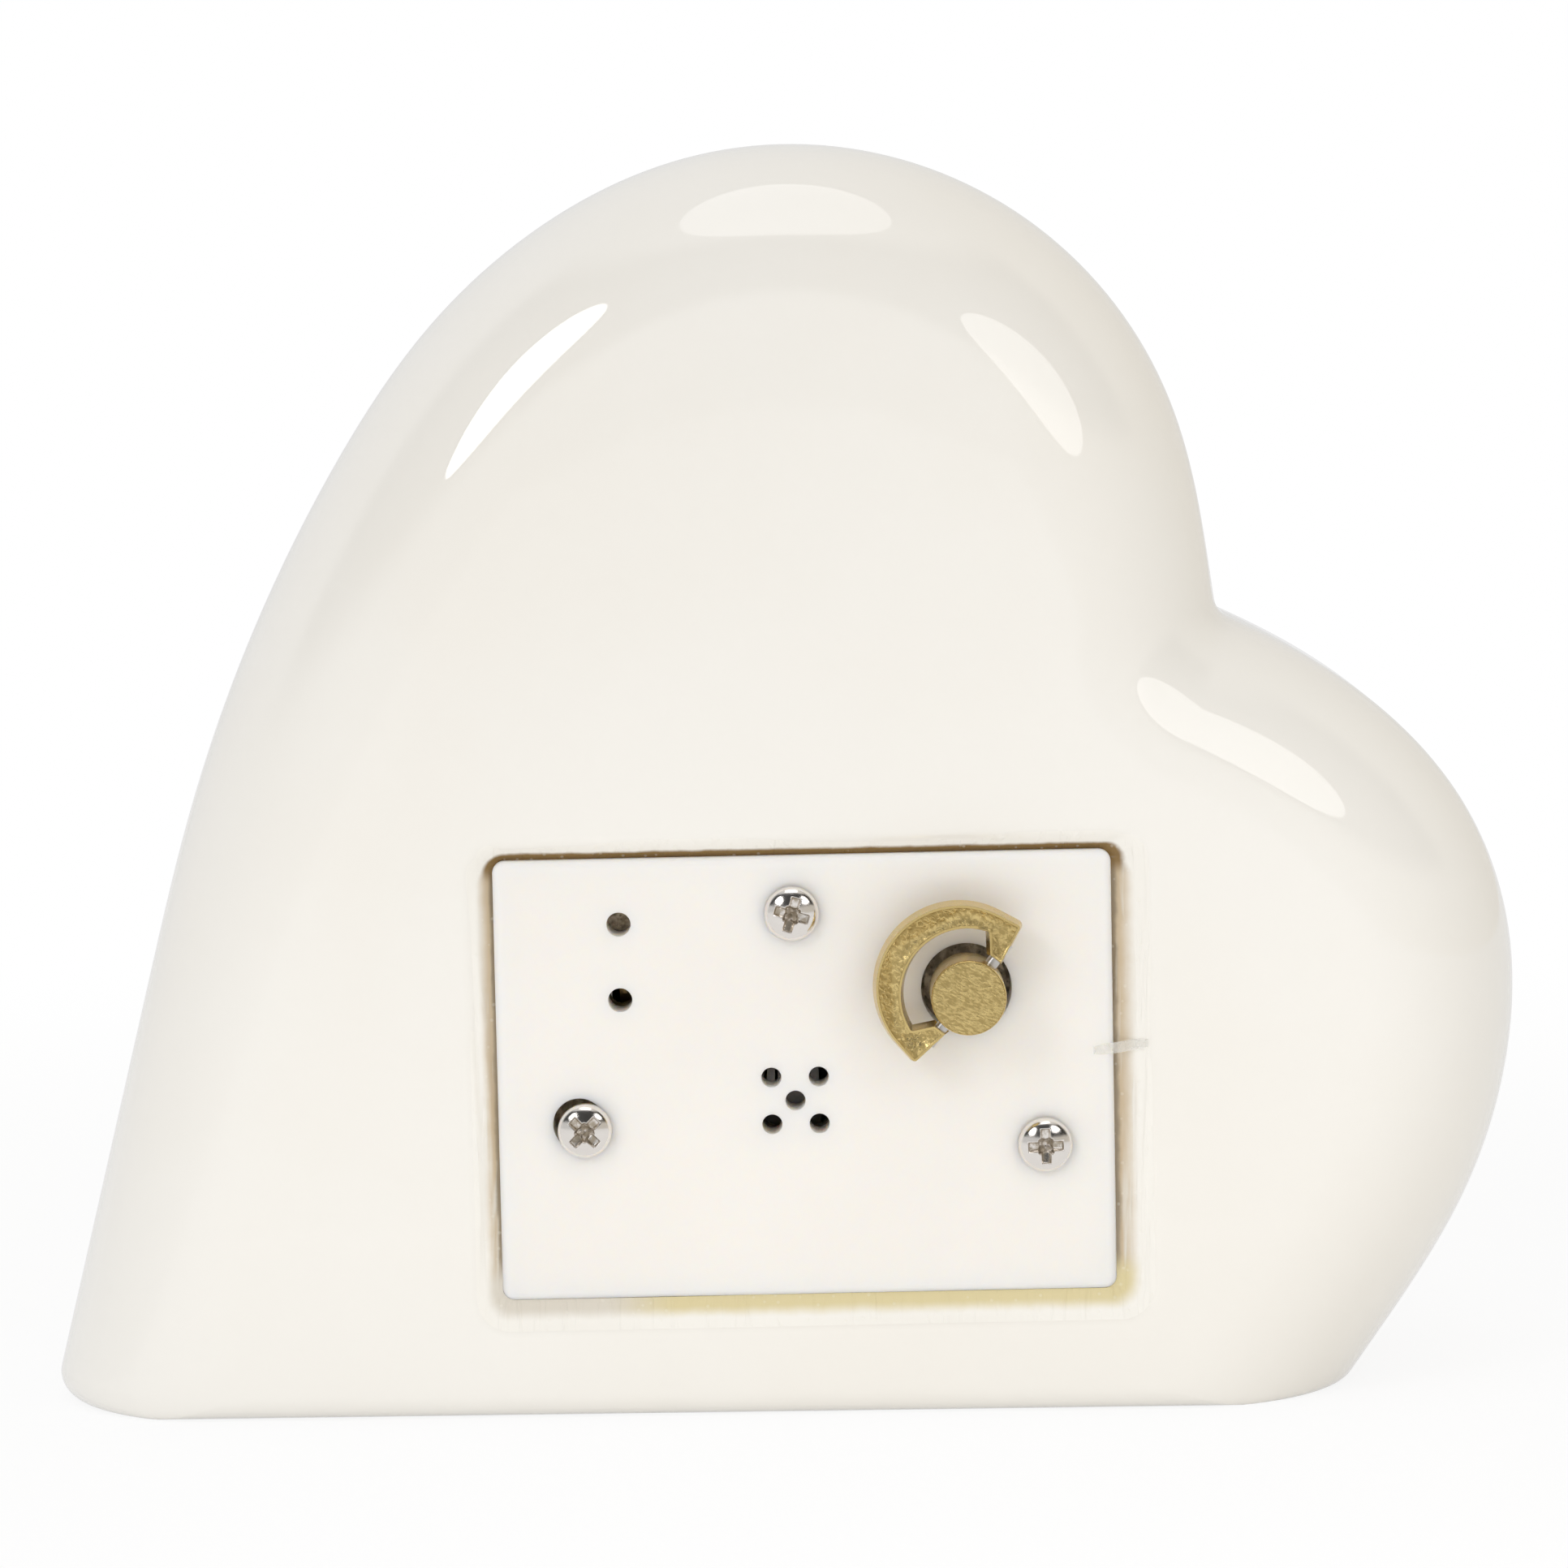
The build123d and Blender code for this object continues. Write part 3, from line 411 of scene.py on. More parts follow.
def brass_finish(settings, face, field, pebble_size, lean):
    """Cast brass: a pebbled front, sunk by the field's depth, with dull hollows, a painted dark
    line of shade where it turns over, and smooth bright edges and sides."""
    def look(place):
        depth = place.axis("Y") - face
        front = depth.smooth(field - 0.0001, field) * depth.smooth(field + 0.00014, field + 0.00004)
        # Painted shade: a thin dark line where the front turns over into its edge
        turned = depth.smooth(0.00001, 0.00003) * depth.smooth(0.00009, 0.00005)
        pebble = place.stretched(pebble_size, (0, lean, 0)).noise(1.0, 3.0, 0.6, 0.5).smooth(0.30, 0.70)
        speck = place.noise(0.00012, 2.0)
        wear = place.noise(0.003, 3.0)
        hollow = 1 - (pebble + (speck - 0.5) * 0.5).smooth(0.1, 0.8)
        # Darker brass: the front's hollows, the painted shade of the turned-over line, and wear off the
        # front
        dull = hollow * front * 0.55 + turned * 0.5 + (1 - front) * wear * 0.3
        return {"Base Color": dull.between(settings.brass, settings.dull_brass),
                "Roughness": 0.20 + hollow * front * 0.15 + wear * 0.12,
                "Normal": (pebble * (front * 0.9 + 0.1) + speck * 0.25).bump(0.00007, 0.55)}
    return finish("key_brass", look, {"Metallic": 1.0})


def metal_finish(name, tone, grain, streak, gloss, dark):
    """Worked metal: streaks along one way, blotches of tone and a fine tooth."""
    def look(place):
        line = place.stretched(streak).noise(1.0, 3.0)
        blotch = place.noise(grain * 12, 3.0).smooth(0.35, 0.7)
        shade = [each * dark for each in tone]
        return {"Base Color": (blotch * 0.5 + line * 0.3).between(tone, shade),
                "Roughness": gloss + line * 0.15 + blotch * 0.08,
                "Normal": (line + place.noise(grain, 2.0) * 0.5).bump(0.00003, 0.4)}
    return finish(name, look, {"Metallic": 1.0})


def casting_finish(settings):
    """Die-cast alloy: a mottled grey skin with pits and bright scuffs."""
    def look(place):
        mottle = place.noise(0.0009, 4.0, 0.6).smooth(0.38, 0.64)
        pit = 1 - place.cells(0.0006).smooth(0.1, 0.3)
        tone = mottle.between(settings.casting, [each * 1.9 for each in settings.casting])
        tone = (pit * 0.6).between(tone, (0.05, 0.045, 0.04))
        return {"Base Color": tone, "Roughness": 0.62 - mottle * 0.2,
                "Normal": (mottle - pit * 0.5).bump(0.00006, 0.6)}
    return finish("cast_plate", look, {"Metallic": 0.85})


def nylon_finish(settings):
    """Moulded nylon: milky, with a faint flow pattern."""
    def look(place):
        flow = place.noise(0.003, 3.0, 0.5, 1.5)
        return {"Base Color": flow.between(settings.nylon, [each * 0.9 for each in settings.nylon]),
                "Roughness": 0.3 + flow * 0.15,
                "Normal": place.noise(0.0004, 2.0).bump(0.00002, 0.3)}
    return finish("nylon", look, {"IOR": 1.53})


# Meshes
def grid_quads(rows, columns, closed=False, first=0):
    """Vertex numbers of the quads between neighbouring rows and columns of a grid, which face the
    viewer where rows go down and columns to the right. Each row runs round to its start, and so
    does each column of a closed grid."""
    row = np.arange(rows if closed else rows - 1)[:, None]
    column = np.arange(columns)[None, :]
    next_row = (row + 1) % rows
    next_column = (column + 1) % columns
    corners = (row * columns + column, next_row * columns + column,
               next_row * columns + next_column, row * columns + next_column)
    return first + np.stack(np.broadcast_arrays(*corners), -1).reshape(-1, 4)


def fan(pole, first, columns):
    """Triangles from a pole to the row that starts at a vertex number."""
    column = np.arange(columns)
    return np.stack((np.full(columns, pole), first + column, first + (column + 1) % columns), -1)


def capped(rows, first=0, poles=None):
    """Points and faces of rows of points that close at a pole past each end: given poles, or
    the middles of the first and last rows. Vertex numbers start at first."""
    count, columns = rows.shape[:2]
    last = first + count * columns
    if poles is None:
        poles = np.stack((rows[0].mean(0), rows[-1].mean(0)))
    faces = [grid_quads(count, columns, first=first), fan(last, first, columns),
             fan(last + 1, last - columns, columns)[:, ::-1]]
    return np.concatenate((rows.reshape(-1, 3), poles)), faces


def make_mesh(name, points, faces):
    """A mesh from points and blocks of faces, each block an array of vertex numbers."""
    mesh = bpy.data.meshes.new(name)
    mesh.from_pydata(points, [], [face for block in faces for face in block.tolist()])
    return mesh


def add_object(name, mesh, material):
    """An object in the scene whose mesh has one material."""
    mesh.materials.clear()
    mesh.materials.append(material)
    added = bpy.data.objects.new(name, mesh)
    bpy.context.scene.collection.objects.link(added)
    return added


def make_piece(name, mesh, body, material, crease):
    """A piece that rides on a body, shaded smooth up to a crease angle in degrees."""
    mesh.polygons.foreach_set("use_smooth", np.ones(len(mesh.polygons), bool))
    mesh.set_sharp_from_angle(angle=radians(crease))
    piece = add_object(name, mesh, material)
    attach(piece, body)
    return piece


def mark_points(piece, name, values):
    """Keeps a number for each point of a piece, for its material to read."""
    marks = piece.data.attributes.new(name, "FLOAT", "POINT")
    marks.data.foreach_set("value", np.asarray(values, np.float32))


def paint(slot, material):
    """Gives a material to every CAD node of a slot."""
    for row in frame["record"]["subparts"]:
        if row["material_slot"] == slot:
            mesh = frame["nodes"][row["node"]].data
            mesh.materials.clear()
            mesh.materials.append(material)


# Heart
def follow(start, heading, bend, distance):
    """Points and headings along a run. A straight run adds distance times (cos h, sin h); an
    arc of curvature k adds (sin h1 - sin h0, cos h0 - cos h1) / k, with h1 = h0 + k distance."""
    turned = heading + bend * distance
    if bend == 0:
        step = np.stack((np.cos(turned), np.sin(turned)), -1) * distance[..., None]
    else:
        step = np.stack((np.sin(turned) - sin(heading), cos(heading) - np.cos(turned)), -1) / bend
    return start + step, turned


def heart_runs(heart):
    """Start, heading, curvature and length of each run of the outline: the flank, three arcs
    that turn right, a line into the cleft, the cleft's arc to the left, a line out of it,
    three more arcs to the right, and a line down to the foot."""
    runs = []
    here, heading = np.array((heart.flank_foot, 0.0)), heart.flank_lean

    def add(bend, reach):
        """Notes a run and goes on from its end."""
        nonlocal here, heading
        runs.append((here, heading, bend, reach))
        ends, turned = follow(here, heading, bend, np.array(reach))
        here, heading = ends, float(turned)

    add(0, heart.flank_run)
    for radius, sweep in zip(heart.upper_radii, heart.upper_sweeps):
        add(-1 / radius, radius * sweep)
    lower = np.array(heart.lower_start)
    into = np.array((cos(heading), sin(heading)))
    across = np.array((-sin(heart.lower_lean), cos(heart.lower_lean)))
    reach = (lower - here) @ across / (into @ across)
    opened = heart.lower_lean - heading
    short = heart.cleft_round * tan(opened / 2)
    rest = np.linalg.norm(lower - here - into * reach) - short
    add(0, reach - short)
    add(1 / heart.cleft_round, heart.cleft_round * opened)
    add(0, rest)
    for radius, sweep in zip(heart.lower_radii, heart.lower_sweeps):
        add(-1 / radius, radius * sweep)
    add(0, here[1] / -sin(heading))
    return runs


def eased_outline(runs, reach):
    """The outline in small steps: distance, point and heading at each.

    On either side of the cleft the headings are averaged over a reach, so that the curvature
    changes gradually where two runs meet; the last run goes on a little, under the foot. Points
    are the sums of the steps (cos h, sin h), and what the sum misses of the true end is shared
    out along the way.
    """
    steps = 120
    small = reach / steps
    window = np.ones(steps + 1) / (steps + 1)
    cleft = max(range(len(runs)), key=lambda index: runs[index][2])
    tables = []
    spare = (follow(*runs[-1][:3], np.array(runs[-1][3]))[0], runs[-1][1], 0, reach)
    for chain in (runs[:cleft], runs[cleft:cleft + 1], [*runs[cleft + 1:], spare]):
        headings = []
        for _, heading, bend, length_along in chain:
            count = max(8, round(length_along / small))
            middles = (np.arange(count) + 0.5) * length_along / count
            headings.append(np.stack((heading + bend * middles, np.full(count, length_along / count))))
        turned, step_along = np.concatenate(headings, 1)
        if len(chain) > 1:
            turned = np.convolve(np.pad(turned, steps // 2, "edge"), window, "valid")
        moves = np.stack((np.cos(turned), np.sin(turned)), -1) * step_along[:, None]
        points = chain[0][0] + np.concatenate((np.zeros((1, 2)), np.cumsum(moves, 0)))
        end = follow(*chain[-1][:3], np.array(chain[-1][3]))[0]
        points += (end - points[-1]) * np.linspace(0, 1, len(points))[:, None]
        ahead = np.concatenate((turned[:1], (turned[1:] + turned[:-1]) / 2, turned[-1:]))
        tables.append((np.append(0, np.cumsum(step_along)), points, ahead))
    return tables


def spaced(counts):
    """Places along numbered runs, each run divided into its own count of steps."""
    return np.concatenate([index + np.arange(count) / count for index, count in enumerate(counts)])


def heart_loop(outline, place, inset, floor, corner):
    """Closed outline (x, z), drawn in by insets and cut at floor heights, one row for each.

    A place is a run's number plus the share along it. A run's point moves inwards along its
    right-hand normal (sin h, -cos h). The flank and the last line end short of the floor by
    the tangent length of a corner arc, and two such arcs and a level line close the loop.
    """
    runs, tables = outline
    inset, floor = np.broadcast_arrays(np.reshape(inset, (-1, 1)), np.reshape(floor, (-1, 1)))
    number = np.floor(place).astype(int)
    part = (place - number)[None, :]
    points = np.empty((len(inset), len(place), 2))
    cleft = max(range(len(runs)), key=lambda index: runs[index][2])

    def along(index, share_along):
        """One run's points, a share of the way along it, in each row."""
        start, heading, _, reach = runs[index]
        first, last = np.zeros_like(inset), np.full_like(inset, reach)
        if index == 0:
            first = (floor + inset * cos(heading)) / sin(heading) + corner / tan(heading / 2)
        if index == len(runs) - 1:
            last = (floor - start[1] + inset * cos(heading)) / sin(heading)
            last = last - corner * tan((heading + pi) / 2)
        table = 0 if index < cleft else 1 if index == cleft else 2
        passed = sum(run[3] for run in runs[(0, cleft, cleft + 1)[table]:index])
        gone, at, turned = tables[table]
        distance = passed + first + (last - first) * share_along
        ahead = np.interp(distance, gone, turned)
        spot = np.stack((np.interp(distance, gone, at[:, 0]), np.interp(distance, gone, at[:, 1])), -1)
        return spot + inset[..., None] * np.stack((np.sin(ahead), -np.cos(ahead)), -1)

    for index in range(len(runs)):
        chosen = number == index
        points[:, chosen] = along(index, part[:, chosen])
    down, lean = runs[-1][1], runs[0][1]
    right = along(len(runs) - 1, np.ones((1, 1)))
    left = along(0, np.zeros((1, 1)))
    swing = follow(np.zeros(2), -pi, -1 / corner, np.array(corner * (pi - lean)))[0]
    chosen = number == len(runs)
    points[:, chosen] = follow(right, down, -1 / corner, corner * (down + pi) * part[:, chosen])[0]
    right_end = follow(right, down, -1 / corner, np.array([[corner * (down + pi)]]))[0]
    left_start = left - swing
    chosen = number == len(runs) + 1
    points[:, chosen] = right_end + (left_start - right_end) * part[0, chosen][None, :, None]
    chosen = number == len(runs) + 2
    points[:, chosen] = follow(left_start, -pi, -1 / corner, corner * (pi - lean) * part[:, chosen])[0]
    return points


def framed(case, flat):
    """Points (u, w) of the case's face, turned by its tilt and moved to its middle, as (x, z)."""
    u, w = flat[..., 0], flat[..., 1]
    x = case.middle[0] + u * cos(case.tilt) - w * sin(case.tilt)
    z = case.middle[2] + u * sin(case.tilt) + w * cos(case.tilt)
    return np.stack((x, z), -1)


def opening_half(case):
    """Half the width and half the height of the opening."""
    return [size / 2 + gap for size, gap in zip(case.size, case.gap)]


# Four sides and four corners of a rounded rectangle
box_runs = 8


def box_loop(width, height, corner, place, spread_out):
    """A rounded rectangle, clockwise from its left side, moved outwards by each spread.

    Even places run along a side and odd ones round the corner after it. A point is the corner
    arc's centre plus (corner + spread) times the outward direction.
    """
    number = np.floor(place).astype(int)
    part = place - number
    side, bent = number // 2, number % 2
    centres = np.array(((-1, -1), (-1, 1), (1, 1), (1, -1), (-1, -1)), float)
    centres *= (width / 2 - corner, height / 2 - corner)
    slide = np.where(bent == 1, 1.0, part)[:, None]
    middle = centres[side] * (1 - slide) + centres[side + 1] * slide
    angle = pi - pi / 2 * (side + bent * part)
    outward = np.stack((np.cos(angle), np.sin(angle)), -1)
    reach = corner + np.reshape(spread_out, (-1, 1, 1))
    return middle[None] + reach * outward[None]


def heart_points(heart, case):
    """Rows of points from the front's middle to the middle of the inner front.

    The rim's profile is a quarter circle of radius R: drawn in by R (1 - sin b) at a depth of
    R (1 - cos b) from the face, with b from 0 on the face to a right angle on the side. Near
    the faces the floor rises as the foot's own quarter circle does. The back runs in to the
    opening, over its lip and through the wall to the same form drawn in by the wall.

    A column joins a place on the outline to the place on the opening's lip that has the same
    bearing from the middle of the case. The lip's corners get columns of their own.
    """
    runs = heart_runs(heart)
    outline = runs, eased_outline(runs, heart.ease)
    half = heart.depth / 2
    radius = heart.edge_round
    # Steps along each of the eleven runs, the right corner, the foot and the left corner
    counts = (26, 22, 20, 56, 8, 22, 8, 14, 30, 22, 12, 12, 40, 16)
    corner_steps, rim_steps, lip_steps, inner_steps = 13, 26, 9, 9
    face_rings, inner_back_rings, inner_front_rings = 5, 2, 3
    fine_steps, box_steps = 20000, 8000
    base = spaced(counts)
    width, height = (2 * half_size for half_size in opening_half(case))
    middle = np.array((case.middle[0], case.middle[2]))

    def opening(place, spread_out):
        """The opening's outline as (x, z), moved outwards by each spread."""
        loop = box_loop(width, height, case.opening_corner, place, spread_out)
        return framed(case, loop + np.array(case.opening_shift))

    def bearing(points):
        """Clockwise angle of each point about the middle."""
        away = points - middle
        return -np.unwrap(np.arctan2(away[:, 1], away[:, 0]))

    fine = np.linspace(0, len(counts), fine_steps + 1)[:-1]
    heart_bearing = bearing(heart_loop(outline, fine, [radius], [heart.foot_round], heart.foot_round)[0])
    box_fine = np.linspace(0, box_runs, box_steps + 1)[:-1]
    box_bearing = bearing(opening(box_fine, [case.opening_lip])[0])
    bends = [1 + 2 * side + np.linspace(0, 1, corner_steps) for side in range(box_runs // 2)]
    met = np.interp(np.concatenate(bends) % box_runs, box_fine, box_bearing)
    met = heart_bearing[0] + (met - heart_bearing[0]) % (2 * pi)
    place = np.unique(np.round(np.concatenate((base, np.interp(met, heart_bearing, fine))), 5))
    place = place[place < len(counts)]
    facing = np.interp(place, fine, heart_bearing)
    facing = box_bearing[0] + (facing - box_bearing[0]) % (2 * pi)
    box_place = np.interp(facing, np.append(box_bearing, box_bearing[0] + 2 * pi),
                          np.append(box_fine, box_runs))
    box_place = np.minimum(box_place, box_runs - 1e-9)

    def level(flat, y):
        """Rows of (x, z), each laid at its own y."""
        return np.stack((flat[..., 0], np.broadcast_to(np.reshape(y, (-1, 1)), flat.shape[:2]),
                         flat[..., 1]), -1)

    def rim(steps, drawn_in, bend, reach, floor, foot, corner):
        """The rim's rows from face to side, and how far each is from the middle of the depth."""
        b = np.linspace(0, pi / 2, steps)
        rise = bend * (1 - np.cos(b))
        lift = foot - np.sqrt(np.maximum(foot ** 2 - np.maximum(foot - rise, 0) ** 2, 0))
        flat = heart_loop(outline, place, drawn_in + bend * (1 - np.sin(b)), floor + lift, corner)
        return flat, reach - rise

    def rings(first, last, steps):
        """Rows spread evenly between two others."""
        share_in = np.linspace(0, 1, steps + 2)[1:-1, None, None]
        return first * (1 - share_in) + last * share_in

    outer, depth_in = rim(rim_steps, 0, radius, half, 0, heart.foot_round, heart.foot_round)
    wall = heart.wall
    inner, inner_in = rim(inner_steps, wall, radius - wall, half - wall, heart.floor, 0, wall / 8)
    lip = np.linspace(0, pi / 2, lip_steps)
    lip_loop = opening(box_place, case.opening_lip * (1 - np.sin(lip)))
    lip_y = -half + case.opening_lip * (1 - np.cos(lip))
    mouth = opening(box_place, [0.0])
    centre = np.broadcast_to(middle, outer[:1].shape)
    blocks = [
        level(rings(centre, outer[:1], face_rings), half),
        level(outer, depth_in),
        level(outer[::-1], -depth_in[::-1]),
        level(rings(outer[:1], lip_loop[:1], face_rings), -half),
        level(lip_loop, lip_y),
        level(mouth, -half + wall),
        level(rings(mouth, inner[:1], inner_back_rings), -half + wall),
        level(inner, -inner_in),
        level(inner[::-1], inner_in[::-1]),
        level(rings(inner[:1], centre, inner_front_rings), half - wall),
    ]
    poles = np.array(((middle[0], half, middle[1]), (middle[0], half - wall, middle[1])))
    return np.concatenate(blocks), poles


class MUSICBOX_OT_heart(bpy.types.Operator):
    """Builds the glazed heart as one closed skin, outside and in"""
    bl_idname = "musicbox.heart"
    bl_label = "Glazed heart"

    def execute(self, context):
        heart, case = context.scene.heart_settings, context.scene.case_settings
        rows, poles = heart_points(heart, case)
        points, faces = capped(rows, poles=poles)
        points = np.clip(points, *map(np.array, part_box("heart_shell")))
        mesh = make_mesh("glazed_heart", points, faces)
        skin = make_piece("glazed_heart", mesh, "heart", glaze_finish(heart), 35.0)
        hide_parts("heart_shell")
        return {"FINISHED"}


# Case and glue
class MUSICBOX_OT_case(bpy.types.Operator):
    """Gives the case and its cover their moulded finish"""
    bl_idname = "musicbox.case"
    bl_label = "Movement case"

    def execute(self, context):
        paint("case_plastic", case_finish(context.scene.case_settings))
        return {"FINISHED"}


def glue_points(glue, case, back):
    """A bead carried round the case: beside the case its depth goes from shallow along the
    bottom to deep along the top with slow waves, from there it rises to end almost flush with
    the heart, sagging between as a parabola, and up the sides it has strands, a sine across it.
    It meets the opening's lip, a quarter circle, and follows it down. Also gives each point's
    share of the way from the case to the heart."""
    side_steps, level_steps, corner_steps, bead_rows, lip_rows = 90, 70, 18, 17, 6
    place = spaced((side_steps, corner_steps, level_steps, corner_steps) * 2)
    half = opening_half(case)
    near = box_loop(*case.size, case.corner, place, [0.0])[0]
    mouth, away = box_loop(2 * half[0], 2 * half[1], case.opening_corner, place, [0.0, 1.0])
    outward = away - mouth
    mouth = mouth + np.array(case.opening_shift)
    height = np.clip(near[:, 1] / case.size[1] + 0.5, 0, 1)
    run = place / box_runs * 2 * pi
    wave = sum(size * np.sin(count * run + phase)
               for size, count, phase in ((1.0, 9, 0.4), (0.7, 17, 2.0), (0.5, 31, 4.1)))
    depth = glue.shallow + (glue.deep - glue.shallow) * height ** 0.6 + wave * glue.wave
    v = np.linspace(0, 1, bead_rows)[:, None]
    upright = (np.floor(place) % 4 == 0) * np.sin(pi * (place % 1)) ** 0.5
    wander = np.sin(2 * pi * (1.7 * v + 0.35 * np.sin(7 * run)))
    strand = glue.strand * upright * np.sin(pi * v) * wander
    sag = 4 * v * (1 - v) * (glue.sag[0] + glue.sag[1] * np.sin(13 * run))
    front = glue.flush + (depth[None] - glue.flush) * (1 - v) ** 1.5 + sag + strand
    lip = case.opening_lip
    below = np.maximum(lip, front[-1] + glue.bond)
    sunk = front[-1] + (below - front[-1]) * np.linspace(0, 1, lip_rows)[:, None]
    slack = lip - np.sqrt(lip ** 2 - np.maximum(lip - sunk, 0) ** 2) + glue.bite
    wall = mouth[None] + outward[None] * slack[..., None]
    flat = near[None] * (1 - v[..., None]) + wall[:1] * v[..., None]
    rear = np.full((2, len(place)), glue.back - back)
    rows = np.concatenate((flat, wall[1:], mouth[None], near[None]))
    sunk = np.concatenate((front, sunk[1:], rear))
    placed = framed(case, rows)
    across = np.concatenate((v[:, 0], np.ones(len(rows) - len(v))))
    return (np.stack((placed[..., 0], back + sunk, placed[..., 1]), -1),
            np.repeat(across, len(place)))


def smear_points(glue, case, back):
    """A flat thread of film from the case's face to the heart's back: ellipses along a line that
    steps down with the faces and dips over the gap, thinning to both ends."""
    start, end, level = glue.smear
    half_width, half_thick = glue.smear_half
    climb, drop = glue.smear_fall
    steps, sides = 40, 20
    along = np.linspace(0, 1, steps)[:, None]
    u = start + (end - start) * along
    edge = case.size[0] / 2
    lip = opening_half(case)[0] + case.opening_shift[0] + case.opening_lip
    over = np.clip((u - edge) / (lip - edge), 0, 1)
    rest = case.middle[1] * (1 - over) + back * over - 1.3 * half_thick
    dip = drop * np.sin(pi * over) ** 2
    taper = np.sin(pi * np.clip(along, 0.02, 0.98)) ** 0.15
    around = np.arange(sides)[None] / sides * 2 * pi
    rise = level + climb * along + half_width * taper * np.sin(around)
    flat = framed(case, np.stack(np.broadcast_arrays(u, rise), -1))
    y = rest + dip - half_thick * taper * np.cos(around)
    return np.stack((flat[..., 0], y, flat[..., 1]), -1)


class MUSICBOX_OT_glue(bpy.types.Operator):
    """Runs the glue round the case"""
    bl_idname = "musicbox.glue"
    bl_label = "Glue"

    def execute(self, context):
        scene = context.scene
        glue, case, back = scene.glue_settings, scene.case_settings, -scene.heart_settings.depth / 2
        bead, across = glue_points(glue, case, back)
        film = smear_points(glue, case, back)
        first = bead.shape[0] * bead.shape[1]
        thread, thread_faces = capped(film, first)
        points = np.concatenate((bead.reshape(-1, 3), thread))
        faces = (grid_quads(*bead.shape[:2], closed=True)[:, ::-1], *thread_faces)
        mesh = make_mesh("glue_bead_set", points, faces)
        piece = make_piece("glue_bead_set", mesh, "heart", glue_finish(glue), 60.0)
        mark_points(piece, "film", np.arange(len(points)) >= first)
        mark_points(piece, "across", np.append(across, np.zeros(len(thread))))
        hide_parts("glue_bead")
        return {"FINISHED"}


# Screws
def step(low, high, value):
    """A soft step from 0 to 1."""
    share_up = np.clip((value - low) / (high - low), 0, 1)
    return share_up * share_up * (3 - 2 * share_up)


def screw_points(screw, slot):
    """A turned head and shank: rows of points (u, w, height over the face), and how sunk each is.

    The head's profile is a crown of large radius that meets an edge of small radius at the
    shoulder's slope; both are arcs, so a point lies at radius times (sin a, 1 - cos a) from
    where its arc starts. A cross is sunk in it: four arms with sloping floors and soft edges,
    and a star-shaped well at the middle.
    """
    spokes, rings = 168, 90
    spin = np.arange(spokes) / spokes * 2 * pi
    inner = np.linspace(0.02, 1.0, rings) ** 0.95
    slope = screw.shoulder
    crown = screw.crown
    edge = (screw.head_radius - crown * sin(slope)) / (1 - sin(slope))
    angle = np.linspace(0, pi / 2, rings)
    profile_r = np.where(angle < slope, crown * np.sin(angle),
                         crown * sin(slope) + edge * (np.sin(angle) - sin(slope)))
    drop = np.where(angle < slope, crown * (1 - np.cos(angle)),
                    crown * (1 - cos(slope)) + edge * (cos(slope) - np.cos(angle)))
    radius = screw.head_radius * inner[:, None]
    top = screw.head_height - np.interp(radius, profile_r, drop)
    top = np.broadcast_to(top, (len(inner), len(spin)))
    x, y = radius * np.cos(spin - slot), radius * np.sin(spin - slot)
    long, wide = np.maximum(abs(x), abs(y)), np.minimum(abs(x), abs(y))
    reach, half_width, soft = screw.cross
    arm = step(-soft, soft, np.minimum(reach - long, half_width - wide))
    arm_depth, arm_fall = screw.arm_floor
    floor = screw.head_height - arm_depth - arm_fall * (1 - np.clip(radius / reach, 0, 1))
    well_radius, scallop, well_soft = screw.well
    well_depth, well_reach = screw.well_floor
    well = step(0, well_soft, well_radius - radius - scallop * np.cos(4 * (spin - slot)))
    floor = floor - well * well_depth * (1 - np.clip(radius / well_reach, 0, 1))
    arm = np.maximum(arm, well)
    z = np.minimum(top, top + (floor - top) * arm)
    u, w = radius * np.cos(spin), radius * np.sin(spin)
    rows = np.stack((np.broadcast_to(u, z.shape), np.broadcast_to(w, z.shape), z), -1)
    ring = np.stack((np.cos(spin), np.sin(spin), np.zeros_like(spin)), -1)
    shank = screw.shank_radius * ring
    down = np.array((0, 0, -screw.shank_length))
    taper_from, tip_share = 0.86, 0.25
    below = np.stack((screw.head_radius * ring, shank, shank + down * taper_from,
                      shank * tip_share + down))
    sunk = np.concatenate((arm, np.zeros(below.shape[:2])))
    return np.concatenate((rows, below)), sunk


class MUSICBOX_OT_screws(bpy.types.Operator):
    """Turns the three pan-head screws and sinks their crosses"""
    bl_idname = "musicbox.screws"
    bl_label = "Mounting screws"

    def execute(self, context):
        screw, case = context.scene.screw_settings, context.scene.case_settings
        points, faces, sunk = [], [], []
        first = 0
        for place, slot in zip((screw.top, screw.left, screw.right), screw.slots):
            rows, deep = screw_points(screw, slot)
            local, skin = capped(rows, first)
            flat = framed(case, local[:, :2] + np.array(place))
            points.append(np.stack((flat[:, 0], case.middle[1] - local[:, 2], flat[:, 1]), -1))
            faces += skin
            sunk.append(np.append(deep.reshape(-1), (1.0, 0.0)))
            first += len(local)
        mesh = make_mesh("pan_head_screws", np.concatenate(points), faces)
        piece = make_piece("pan_head_screws", mesh, "heart", chrome_finish(screw), 50.0)
        mark_points(piece, "sunk", np.concatenate(sunk))
        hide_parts("mounting_screws")
        return {"FINISHED"}


